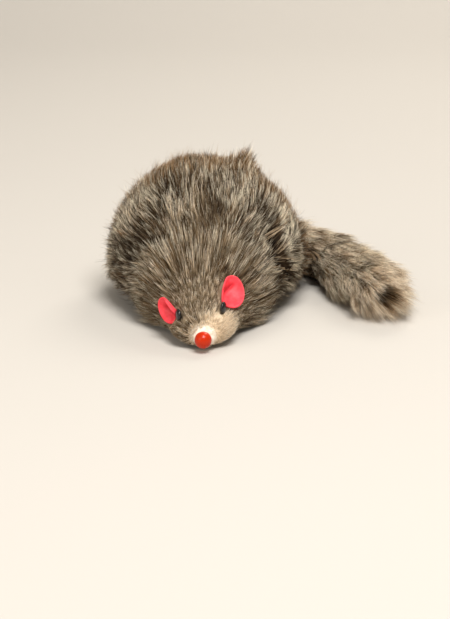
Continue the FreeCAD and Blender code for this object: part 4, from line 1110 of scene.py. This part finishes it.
# Each light's place, what it points at, its size, its power and its tint.
LIGHTS = {
    "key_light": ((0.14, -0.42, 0.82), BODY_MIDDLE, 0.5, 9.5, (1.0, 0.97, 0.93)),
    "fill_light": ((-0.7, -0.6, 0.4), BODY_MIDDLE, 0.7, 2.0, (1.0, 0.95, 0.88)),
    "back_light": ((0.30, 0.6, 0.6), HAUNCHES, 0.4, 3.0, (1.0, 0.94, 0.86)),
}


def area_light(name, place, target, size, power, tint):
    """A round soft light at place that points at target."""
    lamp = bpy.data.lights.new(name, "AREA")
    lamp.shape = "DISK"
    lamp.size = size
    lamp.energy = power
    lamp.color = tint
    obj = new_object(name, lamp)
    obj.location = place
    obj.rotation_euler = (target - Vector(place)).to_track_quat("-Z", "Y").to_euler()
    return obj


def studio():
    """A pale floor that curves up behind, soft lights and an even pale surround."""
    half_width, front, bend, radius, top = 2.0, -1.5, 0.55, 0.4, 1.6
    bend_steps = 12
    profile = [(front, 0.0), (bend, 0.0)]
    for step in range(1, bend_steps + 1):
        turn = step / bend_steps * math.pi / 2
        profile.append((bend + radius * math.sin(turn), radius * (1 - math.cos(turn))))
    profile.append((bend + radius, top))
    shape = bmesh.new()
    rows = []
    for y, z in profile:
        rows.append([shape.verts.new((x, y, z + FLOOR_HEIGHT)) for x in (-half_width, half_width)])
    for near, far in zip(rows, rows[1:]):
        shape.faces.new((near[0], near[1], far[1], far[0]))
    mesh = smooth_mesh("floor", shape)
    backdrop = Look("backdrop")
    backdrop.set(Base_Color=colour(200, 196, 190), Roughness=0.85, Specular_IOR_Level=0.2)
    mesh.materials.append(backdrop.material)
    floor = new_object("floor", mesh)
    lights = [area_light(name, *settings) for name, settings in LIGHTS.items()]
    world = bpy.data.worlds.new("surround")
    world.use_nodes = True
    surround = world.node_tree.nodes["Background"]
    surround.inputs["Color"].default_value = colour(224, 217, 206)
    surround.inputs["Strength"].default_value = 0.55
    bpy.context.scene.world = world
    bpy.context.scene.view_settings.view_transform = "Standard"


def camera():
    """A long-lens view from in front, slightly above, as wide as the mouse with its tail."""
    target = Vector((7.6, -11.3, 1.3)) * MM
    distance, lift, view_height = 0.8, math.radians(17), 0.225
    lens = bpy.data.cameras.new("camera")
    lens.sensor_width = 36.0
    lens.lens = lens.sensor_width * distance / view_height
    lens.clip_start = 0.01
    obj = new_object("camera", lens)
    obj.location = target + Vector((0, -math.cos(lift), math.sin(lift))) * distance
    obj.rotation_euler = (target - obj.location).to_track_quat("-Z", "Y").to_euler()
    bpy.context.scene.camera = obj


# ---------------------------------------------------------------- build


def strands(full, quick):
    return full


finish_cad_nodes()
body_undercoat()
body_fur(
    "body_wool", strands(26000, quick=12000), reach=0.86, thickness=0.14 * MM, looseness=0.0,
    points=4, tuft_size=8, pull=0.6,
)
body_fur(
    "body_fur", strands(44000, quick=16000), reach=1.0, thickness=0.085 * MM, looseness=0.04,
    points=5, tuft_size=5, pull=0.6,
)
body_fur(
    "body_wisps", strands(2600, quick=800), reach=1.12, thickness=0.05 * MM, looseness=0.4,
    points=6, tuft_size=8, pull=0.4,
)
key_fur(strands(6000, quick=2200))
face_undercoat()
face_fur(strands(18000, quick=8000))
nose_pad()
ear("left", 1)
ear("right", -1)
tail_undercoat()
tail_fur(strands(28000, quick=12000))
studio()
camera()
